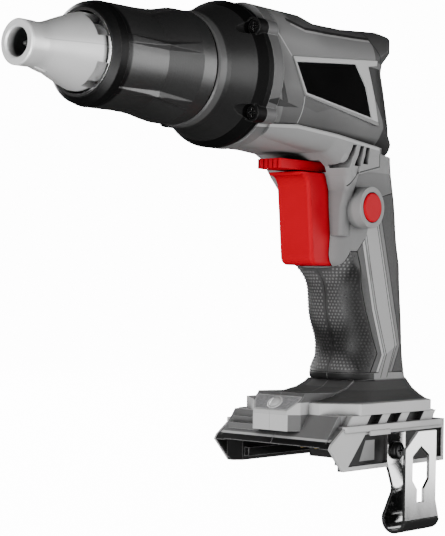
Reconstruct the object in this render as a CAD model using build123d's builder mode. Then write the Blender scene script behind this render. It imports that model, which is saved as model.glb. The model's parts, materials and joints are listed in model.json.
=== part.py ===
from build123d import *

import os
from math import atan2, cos, degrees, hypot, radians, sin, sqrt, tan

# Cordless drywall screwdriver, bare tool without its battery, in millimetres.
# +Z is up, the nose points to -X and the side with the belt hook is -Y.
# The origin is the middle of the battery seat, level with the underside of the foot.

# Fits
running_clearance = 0.05
seat_clearance = 0.1
sliding_clearance = 0.3
seam_width = 0.3

# Main datums
spindle_height = 169.7
case_joint_x = -84.5
gear_case_length = 26.0
collar_gap = 0.5
collar_length = 55.0
nose_reach = 33.0
case_front_x = case_joint_x - gear_case_length
collar_rear_x = case_front_x - collar_gap
collar_front_x = collar_rear_x - collar_length
nose_face_x = collar_front_x - nose_reach

# Housing
wall = 3.0
skin = 1.4
barrel_half_width = 27.0
barrel_top = 29.8
barrel_bottom = 30.0
barrel_corner = 15.5
barrel_lower_corner = 20.0
barrel_rear_x = 19.8
barrel_rear_round = 20.0
rim_radius = 31.2
rim_length = 6.5
flank_half_width = 25.0
flank_edge = 8.0
gusset_corner = 2.6
grip_half_width = 16.5
grip_corner = 12.5
neck_corner = 7.5

# Foot
foot_half_width = 33.0
foot_core_half_width = 29.5
foot_tip_x = -44.0
foot_rear_x = 50.0
rail_rear_x = 45.5
rail_height = 19.7
rail_bar = 2.7
rail_bar_step = 1.2
tab_front_x = -16.0
tab_height = 2.0
side_ribs = ((-27.0, -13.0), (-4.0, 2.1), (10.9, 17.5), (29.4, 39.0))
side_rib_lean = 3.5
tray_bottom = 24.0
tray_top = 29.0
tray_front_x = -33.5
tray_corner_x = -21.0
tray_nose_half_width = 19.0
roof_top = 38.0
bay_half_width = 27.0
bay_height = 14.5
bay_rear_x = 36.0
bay_mouth_half_width = 31.6
battery_rail_width = 2.5
battery_rail_bottom = 2.0
battery_rail_height = 4.0
electronics_floor = 17.5
electronics_top = 27.0
hook_recess_depth = 2.0

# Lamp
lamp_front_x = -44.7
lamp_half_width = 13.3
lamp_nose_half_width = 9.5
lamp_chamfer_x = -39.5
lamp_bottom = 16.7
lamp_ledge_end = 27.0
lamp_sill = 25.5
lamp_top = 32.3
lamp_top_x = -37.0
lens_thickness = 1.8
lens_margin = 0.8
led_radius = 2.5

# Depth nose and collar
nose_tip_radius = 8.9
nose_bore = 5.7
nose_neck_radius = 8.6
nose_skirt_radius = 15.3
nose_window_length = 10.0
nose_window_angle = 50.0
sleeve_radius = 11.7
sleeve_bore = 9.7
sleeve_flange_radius = 15.6
sleeve_flange_length = 10.0
collar_ring_radius = 17.4
collar_front_radius = 20.2
collar_mid_radius = 21.6
collar_rear_radius = 23.7
collar_bearing_radius = 19.4
scallop_count = 6
scallop_angle = 49.0
scallop_depth = 1.9
scallop_tilt = 17.0
scallop_wall_slope = 0.95
depth_travel = 3.0

# Gear train: one planetary stage on the motor axis
gear_module = 1.0
sun_teeth = 12
planet_teeth = 15
planet_count = 3
ring_teeth = sun_teeth + 2 * planet_teeth
addendum = 0.8 * gear_module
dedendum = 1.05 * gear_module
tooth_width = 1.3 * gear_module
tooth_flank = tan(radians(20.0))
ring_gear_length = 9.0
ring_gear_radius = 24.9
planet_width = 7.0
planet_pin_radius = 2.0
carrier_radius = 18.0
carrier_thickness = 3.5
motor_plate_thickness = 4.0
motor_plate_recess = 2.0
dog_count = 3
dog_height = 2.5
dog_gap = 1.0
dog_angle = 48.0
dog_outer = 11.0
dog_inner = 6.8
clutch_disc_thickness = 4.0
push_travel = 3.0

# Spindle, holder and bit
spindle_radius = 5.5
spindle_shoulder_radius = 7.0
bush_radius = 7.2
bush_length = 22.0
spindle_bearing_radius = 9.6
spindle_bearing_width = 5.0
snout_radius = 9.4
holder_radius = 5.2
hex_across_flats = 6.35
holder_length = 29.0
holder_shank = 23.0
bit_set_back = 4.0
bit_socket_depth = 12.0

# Motor
shaft_radius = 2.5
motor_bearing_radius = 8.0
motor_bearing_width = 5.0
stator_radius = 22.5
stator_bore = 12.5
rotor_radius = 12.0
stack_length = 28.0
stack_front_x = -64.0
stator_yoke = 3.5
tooth_count = 6
stator_tooth_width = 6.0
coil_width = 11.0
coil_overhang = 4.0
fan_radius = 20.0
fan_blade_count = 9
fan_front_x = -22.0
fan_length = 9.0
rear_bearing_x = -6.0
board_thickness = 1.4
sensor_board_x = -30.0

# Controls
trigger_half_width = 9.3
trigger_front_x = -31.4
trigger_rear_x = -8.0
trigger_top = spindle_height - 38.2
trigger_bottom = spindle_height - 79.7
trigger_travel = 6.0
trigger_cove = 5.5
trigger_foot_x = -27.8
trigger_toe_round = 4.0
trigger_edge = 1.6
plunger_radius = 2.5
lever_half_width = 6.6
lever_front_x = -48.8
lever_rear_x = 9.0
lever_pivot_x = 4.0
lever_pivot_radius = 2.4
lever_thickness = 4.4
lever_top = spindle_height - 33.0
lever_swing = 9.0
button_x = -3.8
button_z = spindle_height - 53.0
button_radius = 6.7
button_boss_radius = 9.4
button_boss_reach = 24.4
button_face = 25.2
button_stem_radius = 3.0
button_travel = 2.5
switch_front_x = 0.0
switch_rear_x = 20.5
switch_half_width = 9.5
switch_bottom = 96.0
switch_top = lever_top - lever_thickness - sliding_clearance

# Belt hook
hook_thickness = 1.4
hook_front_x = 0.0
hook_width = 28.2
hook_leg_width = 24.6
hook_tab_width = 14.2
hook_outer_y = -42.5
hook_bottom = -29.7
hook_top = 16.0
hook_window_half = 6.6
hook_slot_half = 2.8
hook_screw_x = 6.7
hook_screw_z = 7.0
hook_screw_radius = 2.0
hook_screw_head = 4.0
insert_radius = 2.9

# Screws
screw_radius = 1.5
screw_head_radius = 3.0
screw_head_height = 2.4
screw_seat = 9.0
screw_post_radius = 3.7
case_screw_angle = 36.5
case_screw_circle = 29.8
case_ear_radius = 4.0
case_ear_length = 6.0
case_screw_radius = 1.9
case_screw_head_radius = 3.0
top_post_z = spindle_height + barrel_top - wall - 2.3
screw_places = [
    (-71.5, top_post_z),
    (8.0, top_post_z),
    (26.0, 86.0),
    (2.0, 86.0),
    (30.0, 47.0),
    (6.0, 47.0),
    (43.0, 21.0),
]

# Grip sections from the barrel down: height, front x, rear x, half width, corner radius
grip_sections = [
    (spindle_height - 12.7, -15.0, 19.0, grip_half_width, neck_corner),
    (spindle_height - 23.7, -15.5, 26.0, grip_half_width, neck_corner),
    (spindle_height - 38.7, -16.5, 28.2, grip_half_width, neck_corner + 1.0),
    (spindle_height - 53.7, -17.0, 32.3, grip_half_width, neck_corner + 2.5),
    (spindle_height - 68.7, -16.5, 35.0, grip_half_width, grip_corner - 1.5),
    (spindle_height - 78.2, -16.0, 38.0, grip_half_width, grip_corner - 0.5),
    (spindle_height - 84.0, -9.5, 38.8, grip_half_width, grip_corner),
    (spindle_height - 97.0, -5.2, 40.0, grip_half_width, grip_corner),
    (spindle_height - 109.0, -1.5, 41.2, grip_half_width, grip_corner),
    (spindle_height - 122.7, -0.6, 42.6, grip_half_width, grip_corner),
    (roof_top - 1.0, 0.0, 44.8, grip_half_width + 0.3, grip_corner),
]

# Top of the barrel from its front joint to the back, as (x, height over the spindle)
barrel_ridge = [
    (case_joint_x, barrel_top),
    (-52.0, barrel_top - 0.6),
    (-41.0, barrel_top - 2.9),
    (-17.5, barrel_top - 2.8),
    (8.0, barrel_top - 0.8),
    (13.0, barrel_top - 1.3),
    (15.5, barrel_top - 3.4),
    (barrel_rear_x, barrel_top - 11.0),
]

# Back of the barrel from the top down, as (height over the spindle, how far it is drawn in)
barrel_back = [
    (barrel_top + 5.0, 2.2),
    (barrel_top - 11.5, 2.2),
    (barrel_top - 17.0, 8.0),
    (barrel_top - 21.5, 9.1),
    (barrel_top - 29.0, 6.8),
    (barrel_top - 44.5, 2.8),
    (barrel_top - 49.5, 2.2),
    (barrel_top - 53.0, 0.0),
    (-barrel_bottom - 5.0, 0.0),
]

# Outlines on the side of the housing, as (x, z)
cover_edge = [(case_joint_x + rim_length, 148.4), (-60.0, 149.5), (-32.0, 147.7), (-1.0, 144.3), (35.0, 139.5)]
badge_outline = [(-64.6, 175.6), (-22.3, 179.2), (-14.2, 169.6), (-9.6, 156.6), (-57.2, 163.2)]
frame_outline = [
    (-67.4, 177.7), (-6.0, 182.6), (-6.4, 180.2), (-13.0, 179.2),
    (-7.6, 166.0), (-4.0, 153.2), (-58.6, 161.8),
]
pad_rear_edge = [(-4.0, 97.0), (-1.1, 90.0), (4.3, 69.7), (13.2, 49.8), (7.8, 41.0)]
band_rear_edge = [(2.0, 103.0), (5.3, 90.3), (10.8, 70.6), (19.2, 49.2), (14.7, 41.0)]
stripe_rear_edge = [(9.5, 121.5), (18.3, 90.6), (23.9, 70.6), (29.1, 53.8), (22.5, 41.0)]
vent_slots = [(-18.6, 144.0, 10.3, 4.0), (-13.0, 143.8, 9.0, 2.6), (-8.5, 143.5, 7.6, 1.4)]
vent_slot_width = 2.8
vent_slot_foot = 3.8

pad_zone = [(-30.0, 41.0), (-30.0, 84.5), (-17.0, 85.5), (-11.5, 91.0), (-8.5, 97.0)] + pad_rear_edge
band_zone = pad_rear_edge + band_rear_edge[::-1]
back_zone = stripe_rear_edge + [(70.0, 41.0), (70.0, 137.0)]

# Places that follow from the sizes above
cover_zone = cover_edge + [(35.0, spindle_height + 40.0), (cover_edge[0][0], spindle_height + 40.0)]
spindle_profile = Plane(origin=(0, 0, spindle_height), x_dir=(1, 0, 0), z_dir=(0, -1, 0))
spindle_axis = Axis((0, 0, spindle_height), (1, 0, 0))
ring_front_x = case_joint_x - motor_plate_recess - ring_gear_length
motor_plate_x = case_joint_x - motor_plate_recess
planet_front_x = ring_front_x + (ring_gear_length - planet_width) / 2
planet_rear_x = planet_front_x + planet_width
pin_bore = planet_pin_radius + running_clearance
carrier_rear_x = planet_front_x - 0.5
carrier_front_x = carrier_rear_x - carrier_thickness
disc_rear_x = carrier_front_x - 2 * dog_height - dog_gap
disc_front_x = disc_rear_x - clutch_disc_thickness
planet_circle = gear_module * (sun_teeth + planet_teeth) / 2
bearing_rear_x = disc_front_x - 8.5
bearing_front_x = bearing_rear_x - spindle_bearing_width
bush_rear_x = bearing_front_x - 4.0
bush_front_x = bush_rear_x - bush_length
snout_front_x = bush_front_x - 2.0
spindle_front_x = snout_front_x - 2.0
case_boss_front_x = case_front_x - 20.5
bit_tip_x = nose_face_x + bit_set_back
holder_front_x = spindle_front_x - holder_length
bit_rear_x = holder_front_x + bit_socket_depth
skirt_rear_x = nose_face_x + 50.7
sleeve_front_x = nose_face_x + 27.0
sleeve_flange_x = skirt_rear_x + sliding_clearance
stack_rear_x = stack_front_x + stack_length
front_bearing_x = motor_plate_x + motor_plate_thickness + 0.5
shaft_front_x = carrier_rear_x + 0.3
shaft_rear_x = rear_bearing_x + motor_bearing_width
ear_front_x = case_joint_x - case_ear_length
head_seat_x = ear_front_x + screw_head_height + 1.0
insert_face = -foot_half_width + hook_recess_depth
insert_back = -bay_half_width - 0.2
lens_lean = degrees(atan2(lamp_top - lamp_sill, lamp_top_x - lamp_front_x))
lens_length = hypot(lamp_top - lamp_sill, lamp_top_x - lamp_front_x)
lens_plane = Plane(
    origin=(lamp_front_x, 0, lamp_sill),
    x_dir=(cos(radians(lens_lean)), 0, sin(radians(lens_lean))),
    z_dir=(-sin(radians(lens_lean)), 0, cos(radians(lens_lean))),
)


def across(x):
    """Plane square to the spindle at x, with its local axes along Y and Z."""
    return Plane(origin=(x, 0, spindle_height), x_dir=(0, 1, 0), z_dir=(1, 0, 0))


def turn(points, mode=Mode.ADD, angle=360.0):
    """Turn an outline of (x, radius) points about the spindle axis."""
    with BuildSketch(spindle_profile) as outline:
        with BuildLine():
            Polyline(*points, close=True)
        make_face()
    revolve(outline.sketch, axis=spindle_axis, revolution_arc=angle, mode=mode)


def rod(front_x, rear_x, radius, mode=Mode.ADD):
    """A round rod on the spindle axis."""
    with BuildSketch(across(front_x)) as section:
        Circle(radius)
    extrude(section.sketch, amount=rear_x - front_x, mode=mode)


def tube(front_x, rear_x, radius, bore, mode=Mode.ADD):
    """A round tube on the spindle axis."""
    with BuildSketch(across(front_x)) as section:
        Circle(radius)
        Circle(bore, mode=Mode.SUBTRACT)
    extrude(section.sketch, amount=rear_x - front_x, mode=mode)


def hex_rod(front_x, rear_x, across_flats, mode=Mode.ADD):
    """A hexagon bar on the spindle axis."""
    with BuildSketch(across(front_x)) as section:
        RegularPolygon(across_flats / 2, 6, major_radius=False)
    extrude(section.sketch, amount=rear_x - front_x, mode=mode)


def slab(points, near_y, far_y, mode=Mode.ADD, margin=0.0):
    """A prism of a side outline of (x, z) points between two Y positions, drawn in by a margin."""
    with BuildSketch(Plane.XZ.offset(-near_y)) as outline:
        with BuildLine():
            Polyline(*points, close=True)
        make_face()
        if margin > 0.0:
            offset(amount=-margin, kind=Kind.INTERSECTION, mode=Mode.REPLACE)
    extrude(outline.sketch, amount=near_y - far_y, mode=mode)


def block(x_range, y_range, z_range, mode=Mode.ADD):
    """A box between pairs of limits along X, Y and Z."""
    with BuildSketch(Plane.XY.offset(z_range[0])) as base:
        with Locations(((x_range[0] + x_range[1]) / 2, (y_range[0] + y_range[1]) / 2)):
            Rectangle(x_range[1] - x_range[0], y_range[1] - y_range[0])
    extrude(base.sketch, amount=z_range[1] - z_range[0], mode=mode)


def crossbar(x, z, near_y, far_y, radius, mode=Mode.ADD):
    """A round bar along Y between two positions."""
    with BuildSketch(Plane.XZ.offset(-near_y)) as section:
        with Locations((x, z)):
            Circle(radius)
    extrude(section.sketch, amount=near_y - far_y, mode=mode)


def crossbars(places, near_y, far_y, radius, mode=Mode.ADD):
    """Round bars along Y between two positions, at (x, z) places."""
    with BuildSketch(Plane.XZ.offset(-near_y)) as section:
        with Locations(*places):
            Circle(radius)
    extrude(section.sketch, amount=near_y - far_y, mode=mode)


def coil(start, direction, radius, wire, length, turns):
    """A helical spring of open ends, inside the given length."""
    pitch = (length - wire) / turns
    first = Vector(start) + Vector(direction) * (wire / 2)
    with BuildLine() as path:
        Helix(pitch=pitch, height=length - wire, radius=radius, center=first, direction=direction)
    with BuildSketch(Plane(origin=path.line @ 0, z_dir=path.line % 0)) as section:
        Circle(wire / 2)
    sweep(section.sketch, path=path.line, is_frenet=True)


def cross_recess(plane, size, depth):
    """Cut a cross recess into a screw head, down from the given plane."""
    with BuildSketch(plane) as cross:
        Rectangle(size, size / 4)
        Rectangle(size / 4, size)
    extrude(cross.sketch, amount=-depth, mode=Mode.SUBTRACT)


def tooth(pitch_radius, outward):
    """Corners of one straight-flanked tooth pointing out, or in where outward is -1."""
    tip = pitch_radius + outward * addendum
    root = pitch_radius - outward * (dedendum + 0.2)
    tip_half = tooth_width / 2 - addendum * tooth_flank
    root_half = tooth_width / 2 + dedendum * tooth_flank
    return [(root, -root_half), (tip, -tip_half), (tip, tip_half), (root, root_half)]


def spur_gear(front_x, rear_x, teeth, bore, center=(0, 0)):
    """A spur gear about a line parallel to the spindle, one tooth towards +Y."""
    pitch_radius = gear_module * teeth / 2
    with BuildSketch(across(front_x)) as section:
        with Locations(center):
            Circle(pitch_radius - dedendum)
            with PolarLocations(0, teeth):
                Polygon(*tooth(pitch_radius, 1), align=None)
            Circle(bore, mode=Mode.SUBTRACT)
    extrude(section.sketch, amount=rear_x - front_x)


def dogs(front_x, rear_x, start_angle):
    """Clutch dogs: ring sectors spread about the spindle."""
    with BuildSketch(across(front_x)) as section:
        Circle(dog_outer)
        Circle(dog_inner, mode=Mode.SUBTRACT)
        with PolarLocations(0, dog_count, start_angle=start_angle + dog_angle / 2):
            wedge = 180.0 / dog_count - dog_angle / 2
            reach = 2 * dog_outer
            gap = 2 * wedge
            Polygon(
                (0, 0),
                (reach, 0),
                (reach * cos(radians(gap / 2)), reach * sin(radians(gap / 2))),
                (reach * cos(radians(gap)), reach * sin(radians(gap))),
                align=None,
                mode=Mode.SUBTRACT,
            )
    extrude(section.sketch, amount=rear_x - front_x)


def planet_center(index):
    """Place of a planet in the plane across the spindle."""
    angle = radians(360.0 / planet_count * index)
    return (planet_circle * cos(angle), planet_circle * sin(angle))


def barrel_form(inset):
    """The motor barrel, drawn in by a wall or skin: sections along it, cut to its back and belly."""
    half_width = barrel_half_width - inset
    with BuildPart() as back:
        for height, drawn_in in barrel_back:
            with BuildSketch(Plane.XY.offset(spindle_height + height)):
                with Locations((barrel_rear_x - drawn_in - inset, 0)):
                    RectangleRounded(
                        2 * (barrel_rear_x - case_joint_x),
                        2 * half_width,
                        barrel_rear_round - inset,
                        align=(Align.MAX, Align.CENTER),
                    )
        loft(ruled=True)
    with BuildPart() as form:
        for x, top in barrel_ridge:
            with BuildSketch(Plane.YZ.offset(x)):
                with Locations((0, spindle_height + (top - barrel_bottom) / 2)):
                    RectangleRounded(2 * half_width, top + barrel_bottom - 2 * inset, barrel_corner - inset)
        loft(ruled=True)
        with BuildSketch(Plane.YZ.offset(case_joint_x)) as belly:
            with Locations((0, spindle_height - barrel_bottom + inset)):
                RectangleRounded(
                    2 * half_width,
                    4 * barrel_top,
                    barrel_lower_corner - inset,
                    align=(Align.CENTER, Align.MIN),
                )
        extrude(belly.sketch, amount=barrel_rear_x - case_joint_x, mode=Mode.INTERSECT)
        add(back.part, mode=Mode.INTERSECT)
    return form.part


def grip_form(inset):
    """The neck and grip, lofted through their sections and drawn in by a wall or skin."""
    with BuildPart() as form:
        for height, front, rear, half_width, corner in grip_sections:
            with BuildSketch(Plane.XY.offset(height)):
                with Locations(((front + rear) / 2, 0)):
                    RectangleRounded(rear - front - 2 * inset, 2 * (half_width - inset), corner - inset)
        loft()
    return form.part


def flank_form():
    """The lower side panels that carry the vents, between barrel and neck."""
    with BuildPart() as form:
        slab(
            [
                (case_joint_x + rim_length, spindle_height - 8.0),
                (1.6, spindle_height - 8.0),
                (1.6, spindle_height - 35.0),
                (-15.0, spindle_height - 38.7),
                (-34.0, spindle_height - barrel_bottom),
                (case_joint_x + rim_length, spindle_height - barrel_bottom + 3.5),
            ],
            flank_half_width,
            -flank_half_width,
        )
        lower = form.edges().filter_by(Axis.Y, reverse=True).filter_by_position(Axis.Z, 0.0, spindle_height - 26.0)
        fillet(lower, radius=flank_edge)
    return form.part


def gusset_form():
    """The flare of the neck beside the trigger, up to the side panels and their lower rim."""
    neck_front = grip_sections[3][1]
    with BuildPart() as form:
        for height, front, rear, half_width in (
            (-24.0, neck_front - 13.0, -8.0, flank_half_width - 0.6),
            (-29.0, neck_front - 9.5, -9.0, flank_half_width - 0.6),
            (-34.0, neck_front - 6.5, -10.5, flank_half_width - 0.8),
            (-39.5, neck_front - 2.6, -12.0, flank_half_width - 1.6),
            (-46.0, neck_front - 0.2, -10.5, grip_half_width + 3.6),
            (-53.0, neck_front + 0.2, -10.0, grip_half_width + 1.1),
            (-66.0, neck_front + 1.6, -8.0, grip_half_width - 0.4),
        ):
            with BuildSketch(Plane.XY.offset(spindle_height + height)):
                with Locations(((front + rear) / 2, 0)):
                    RectangleRounded(rear - front, 2 * half_width, gusset_corner)
        loft(ruled=True)
        slab(
            [
                (-14.5, spindle_height - 24.0),
                (1.4, spindle_height - 24.0),
                (1.4, spindle_height - 35.0),
                (-14.5, spindle_height - 38.6),
            ],
            flank_half_width - 0.3,
            0.3 - flank_half_width,
        )
    return form.part


def foot_form():
    """The battery foot: rails, hood, tray and the roof up to the grip."""
    with BuildPart() as form:
        slab(
            [
                (foot_tip_x + 10.0, 0.0),
                (foot_tip_x, 10.4),
                (foot_tip_x + 1.4, 12.5),
                (foot_tip_x + 12.0, rail_height),
                (rail_rear_x, rail_height),
                (rail_rear_x, 0.0),
            ],
            foot_half_width,
            -foot_half_width,
        )
        slab(
            [
                (foot_tip_x + 1.4, 12.5),
                (tray_front_x, tray_bottom),
                (rail_rear_x - 4.0, tray_bottom),
                (rail_rear_x - 4.0, 12.5),
            ],
            foot_core_half_width,
            -foot_core_half_width,
        )
        bar_half_width = foot_half_width + rail_bar_step
        bar_bottom = rail_height - rail_bar
        bar = (foot_tip_x + 10.5, rail_rear_x - 3.2)
        block(bar, (-bar_half_width, bar_half_width), (bar_bottom, rail_height))
        tab = (tab_front_x, hook_front_x - 0.8)
        block(tab, (-bar_half_width - 0.4, bar_half_width + 0.4), (bar_bottom - tab_height, bar_bottom + 0.2))
        for rib_front, rib_rear in side_ribs:
            slab(
                [
                    (rib_front - side_rib_lean, rail_height),
                    (rib_rear - side_rib_lean, rail_height),
                    (rib_rear, tray_bottom),
                    (rib_front, tray_bottom),
                ],
                foot_half_width - 0.5,
                0.5 - foot_half_width,
            )
        with BuildSketch(Plane.XY.offset(tray_bottom)):
            with BuildLine():
                half = Polyline(
                    (tray_front_x, 0),
                    (tray_front_x, tray_nose_half_width),
                    (tray_corner_x, foot_half_width),
                    (foot_rear_x - 16.0, foot_half_width),
                    (foot_rear_x, grip_half_width),
                    (foot_rear_x, 0),
                )
                mirror(half, about=Plane.XZ)
            make_face()
        extrude(amount=tray_top - tray_bottom)
        block((bay_rear_x, foot_rear_x), (-grip_half_width, grip_half_width), (0.0, tray_bottom))
        roof_sections = [
            (tray_top, tray_front_x + 2.0, foot_rear_x - 3.5, foot_half_width - 2.5, 18.0),
            (tray_top + 2.0, -18.0, foot_rear_x - 4.2, foot_half_width - 7.0, 16.0),
            (tray_top + 4.6, -8.0, foot_rear_x - 4.8, foot_half_width - 11.5, 14.0),
            (roof_top, -1.0, 45.0, grip_half_width + 0.5, grip_corner),
        ]
        roof = Sketch()
        for height, front, rear, half_width, corner in roof_sections:
            with BuildSketch(Plane.XY.offset(height)) as section:
                with Locations(((front + rear) / 2, 0)):
                    RectangleRounded(rear - front, 2 * half_width, corner)
            roof += section.sketch.faces()
        loft(roof, ruled=True)
        add(lamp_wedge)
        for step in (0, 1):
            step_x = lamp_front_x + 4.0 + 2.8 * step
            step_z = lamp_bottom - 1.2 + 2.8 * step
            block((step_x, tray_front_x), (lamp_nose_half_width, lamp_ledge_end), (step_z, step_z + 2.8))
    return form.part


def lamp_form():
    """The wedge on the foot that holds the work lamp."""
    with BuildPart() as form:
        with BuildSketch(Plane.XY.offset(lamp_bottom)):
            with BuildLine():
                half = Polyline(
                    (lamp_front_x, 0),
                    (lamp_front_x, lamp_nose_half_width),
                    (lamp_chamfer_x, lamp_half_width),
                    (0, lamp_half_width),
                    (0, 0),
                )
                mirror(half, about=Plane.XZ)
            make_face()
        extrude(amount=roof_top - lamp_bottom)
        slab(
            [
                (lamp_front_x, lamp_bottom),
                (lamp_front_x, lamp_sill),
                (lamp_top_x, lamp_top),
                (lamp_top_x + 0.6, lamp_top + 1.0),
                (-14.0, lamp_top + 0.4),
                (-5.6, lamp_top + 2.5),
                (0, roof_top),
                (0, lamp_bottom),
            ],
            foot_half_width,
            -foot_half_width,
            mode=Mode.INTERSECT,
        )
    return form.part


def lens_sketch(margin):
    """Outline of the lens on its slope, drawn in by a margin."""
    chamfer = (lamp_chamfer_x - lamp_front_x) / cos(radians(lens_lean))
    with BuildSketch(lens_plane) as outline:
        with BuildLine():
            half = Polyline(
                (margin, 0),
                (margin, lamp_nose_half_width - margin / 2),
                (chamfer, lamp_half_width - margin),
                (lens_length - margin, lamp_half_width - margin),
                (lens_length - margin, 0),
            )
            mirror(half, about=Plane.XZ)
        make_face()
    return outline.sketch


def clip_to_grip(zone):
    """Make the open part a skin on the left of the grip inside a side outline."""
    slab(zone, -seam_width / 2, -2 * grip_half_width, margin=seam_width)
    add(grip_outer, mode=Mode.INTERSECT)
    add(grip_under_skin, mode=Mode.SUBTRACT)


def bore_screw_heads(places):
    """Bore the open part through from the right for the heads of the housing screws."""
    head_bore = screw_head_radius + sliding_clearance
    crossbars(places, 2 * foot_half_width, screw_seat, head_bore, mode=Mode.SUBTRACT)


def ear_places():
    """Places of the gear case ears in the plane across the spindle."""
    tilt = radians(case_screw_angle)
    across_y = case_screw_circle * cos(tilt)
    across_z = case_screw_circle * sin(tilt)
    return [(-across_y, -across_z), (-across_y, across_z), (across_y, -across_z), (across_y, across_z)]


def ear_rods(front_x, rear_x, radius, mode=Mode.ADD):
    """Four round rods parallel to the spindle at the gear case ears."""
    with BuildSketch(across(front_x)) as section:
        with Locations(*ear_places()):
            Circle(radius)
    extrude(section.sketch, amount=rear_x - front_x, mode=mode)


grip_outer = grip_form(0.0)
grip_under_skin = grip_form(skin)
barrel_outer = barrel_form(0.0)
barrel_under_skin = barrel_form(skin)
barrel_inside = barrel_form(wall)
grip_inside = grip_form(wall)
flank = flank_form()
gusset = gusset_form()
lamp_wedge = lamp_form()
foot = foot_form()

# Everything inside the housing that is open
with BuildPart() as hollow:
    add(barrel_inside)
    rod(case_joint_x, motor_plate_x + motor_plate_thickness, ring_gear_radius + seat_clearance)
    for rib_x in (stack_front_x + 3.0, stack_rear_x - 6.0, sensor_board_x - 0.4):
        with BuildSketch(across(rib_x)) as rib:
            Rectangle(4 * barrel_half_width, 4 * barrel_half_width)
            Circle(stator_radius + seat_clearance, mode=Mode.SUBTRACT)
            with Locations((0, -stator_radius - 3.0)):
                Rectangle(14.0, 12.0, mode=Mode.SUBTRACT)
        extrude(rib.sketch, amount=2.4, mode=Mode.SUBTRACT)
    with BuildSketch(across(rear_bearing_x)) as bearing_web:
        Circle(motor_bearing_radius + 4.0)
        Rectangle(4 * barrel_half_width, 9.0)
        with Locations((0, barrel_half_width)):
            Rectangle(9.0, 2 * barrel_half_width)
        Circle(motor_bearing_radius + seat_clearance, mode=Mode.SUBTRACT)
    extrude(bearing_web.sketch, amount=motor_bearing_width, mode=Mode.SUBTRACT)
    add(grip_inside)
    block((-20.0, 34.0), (-24.0, 24.0), (electronics_floor, electronics_top))
    block((6.0, 37.0), (-11.0, 11.0), (electronics_top - 1.0, roof_top + 2.0))
    block((lamp_chamfer_x, -18.0), (-8.0, 8.0), (19.0, electronics_top))

# The battery bay, open to the front and below, with a rail on each side
with BuildPart() as bay:
    slab(
        [
            (foot_tip_x - 5.0, -5.0),
            (foot_tip_x - 5.0, 10.2),
            (foot_tip_x + 3.0, 11.0),
            (foot_tip_x + 8.0, bay_height),
            (bay_rear_x, bay_height),
            (bay_rear_x, -5.0),
        ],
        bay_half_width,
        -bay_half_width,
    )
    with BuildSketch(Plane.XY.offset(-5.0)) as mouth:
        with BuildLine():
            half = Polyline(
                (foot_tip_x - 5.0, 0),
                (foot_tip_x - 5.0, bay_mouth_half_width),
                (foot_tip_x + 8.0, bay_mouth_half_width),
                (foot_tip_x + 15.0, bay_half_width - 1.0),
                (foot_tip_x + 15.0, 0),
            )
            mirror(half, about=Plane.XZ)
        make_face()
    extrude(mouth.sketch, amount=15.2)
    for side in (-1, 1):
        rail_y = sorted((side * bay_half_width, side * (bay_half_width - battery_rail_width)))
        block(
            (foot_tip_x + 15.0, bay_rear_x),
            rail_y,
            (battery_rail_bottom, battery_rail_bottom + battery_rail_height),
            mode=Mode.SUBTRACT,
        )

# What the skins of the barrel and the grip replace
with BuildPart() as cover_pocket:
    slab(cover_zone, 2 * barrel_half_width, -2 * barrel_half_width)
    add(barrel_under_skin, mode=Mode.SUBTRACT)

with BuildPart() as grip_pockets:
    for zone in (pad_zone, band_zone, back_zone):
        slab(zone, 2 * grip_half_width, -2 * grip_half_width)
    add(grip_under_skin, mode=Mode.SUBTRACT)

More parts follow.
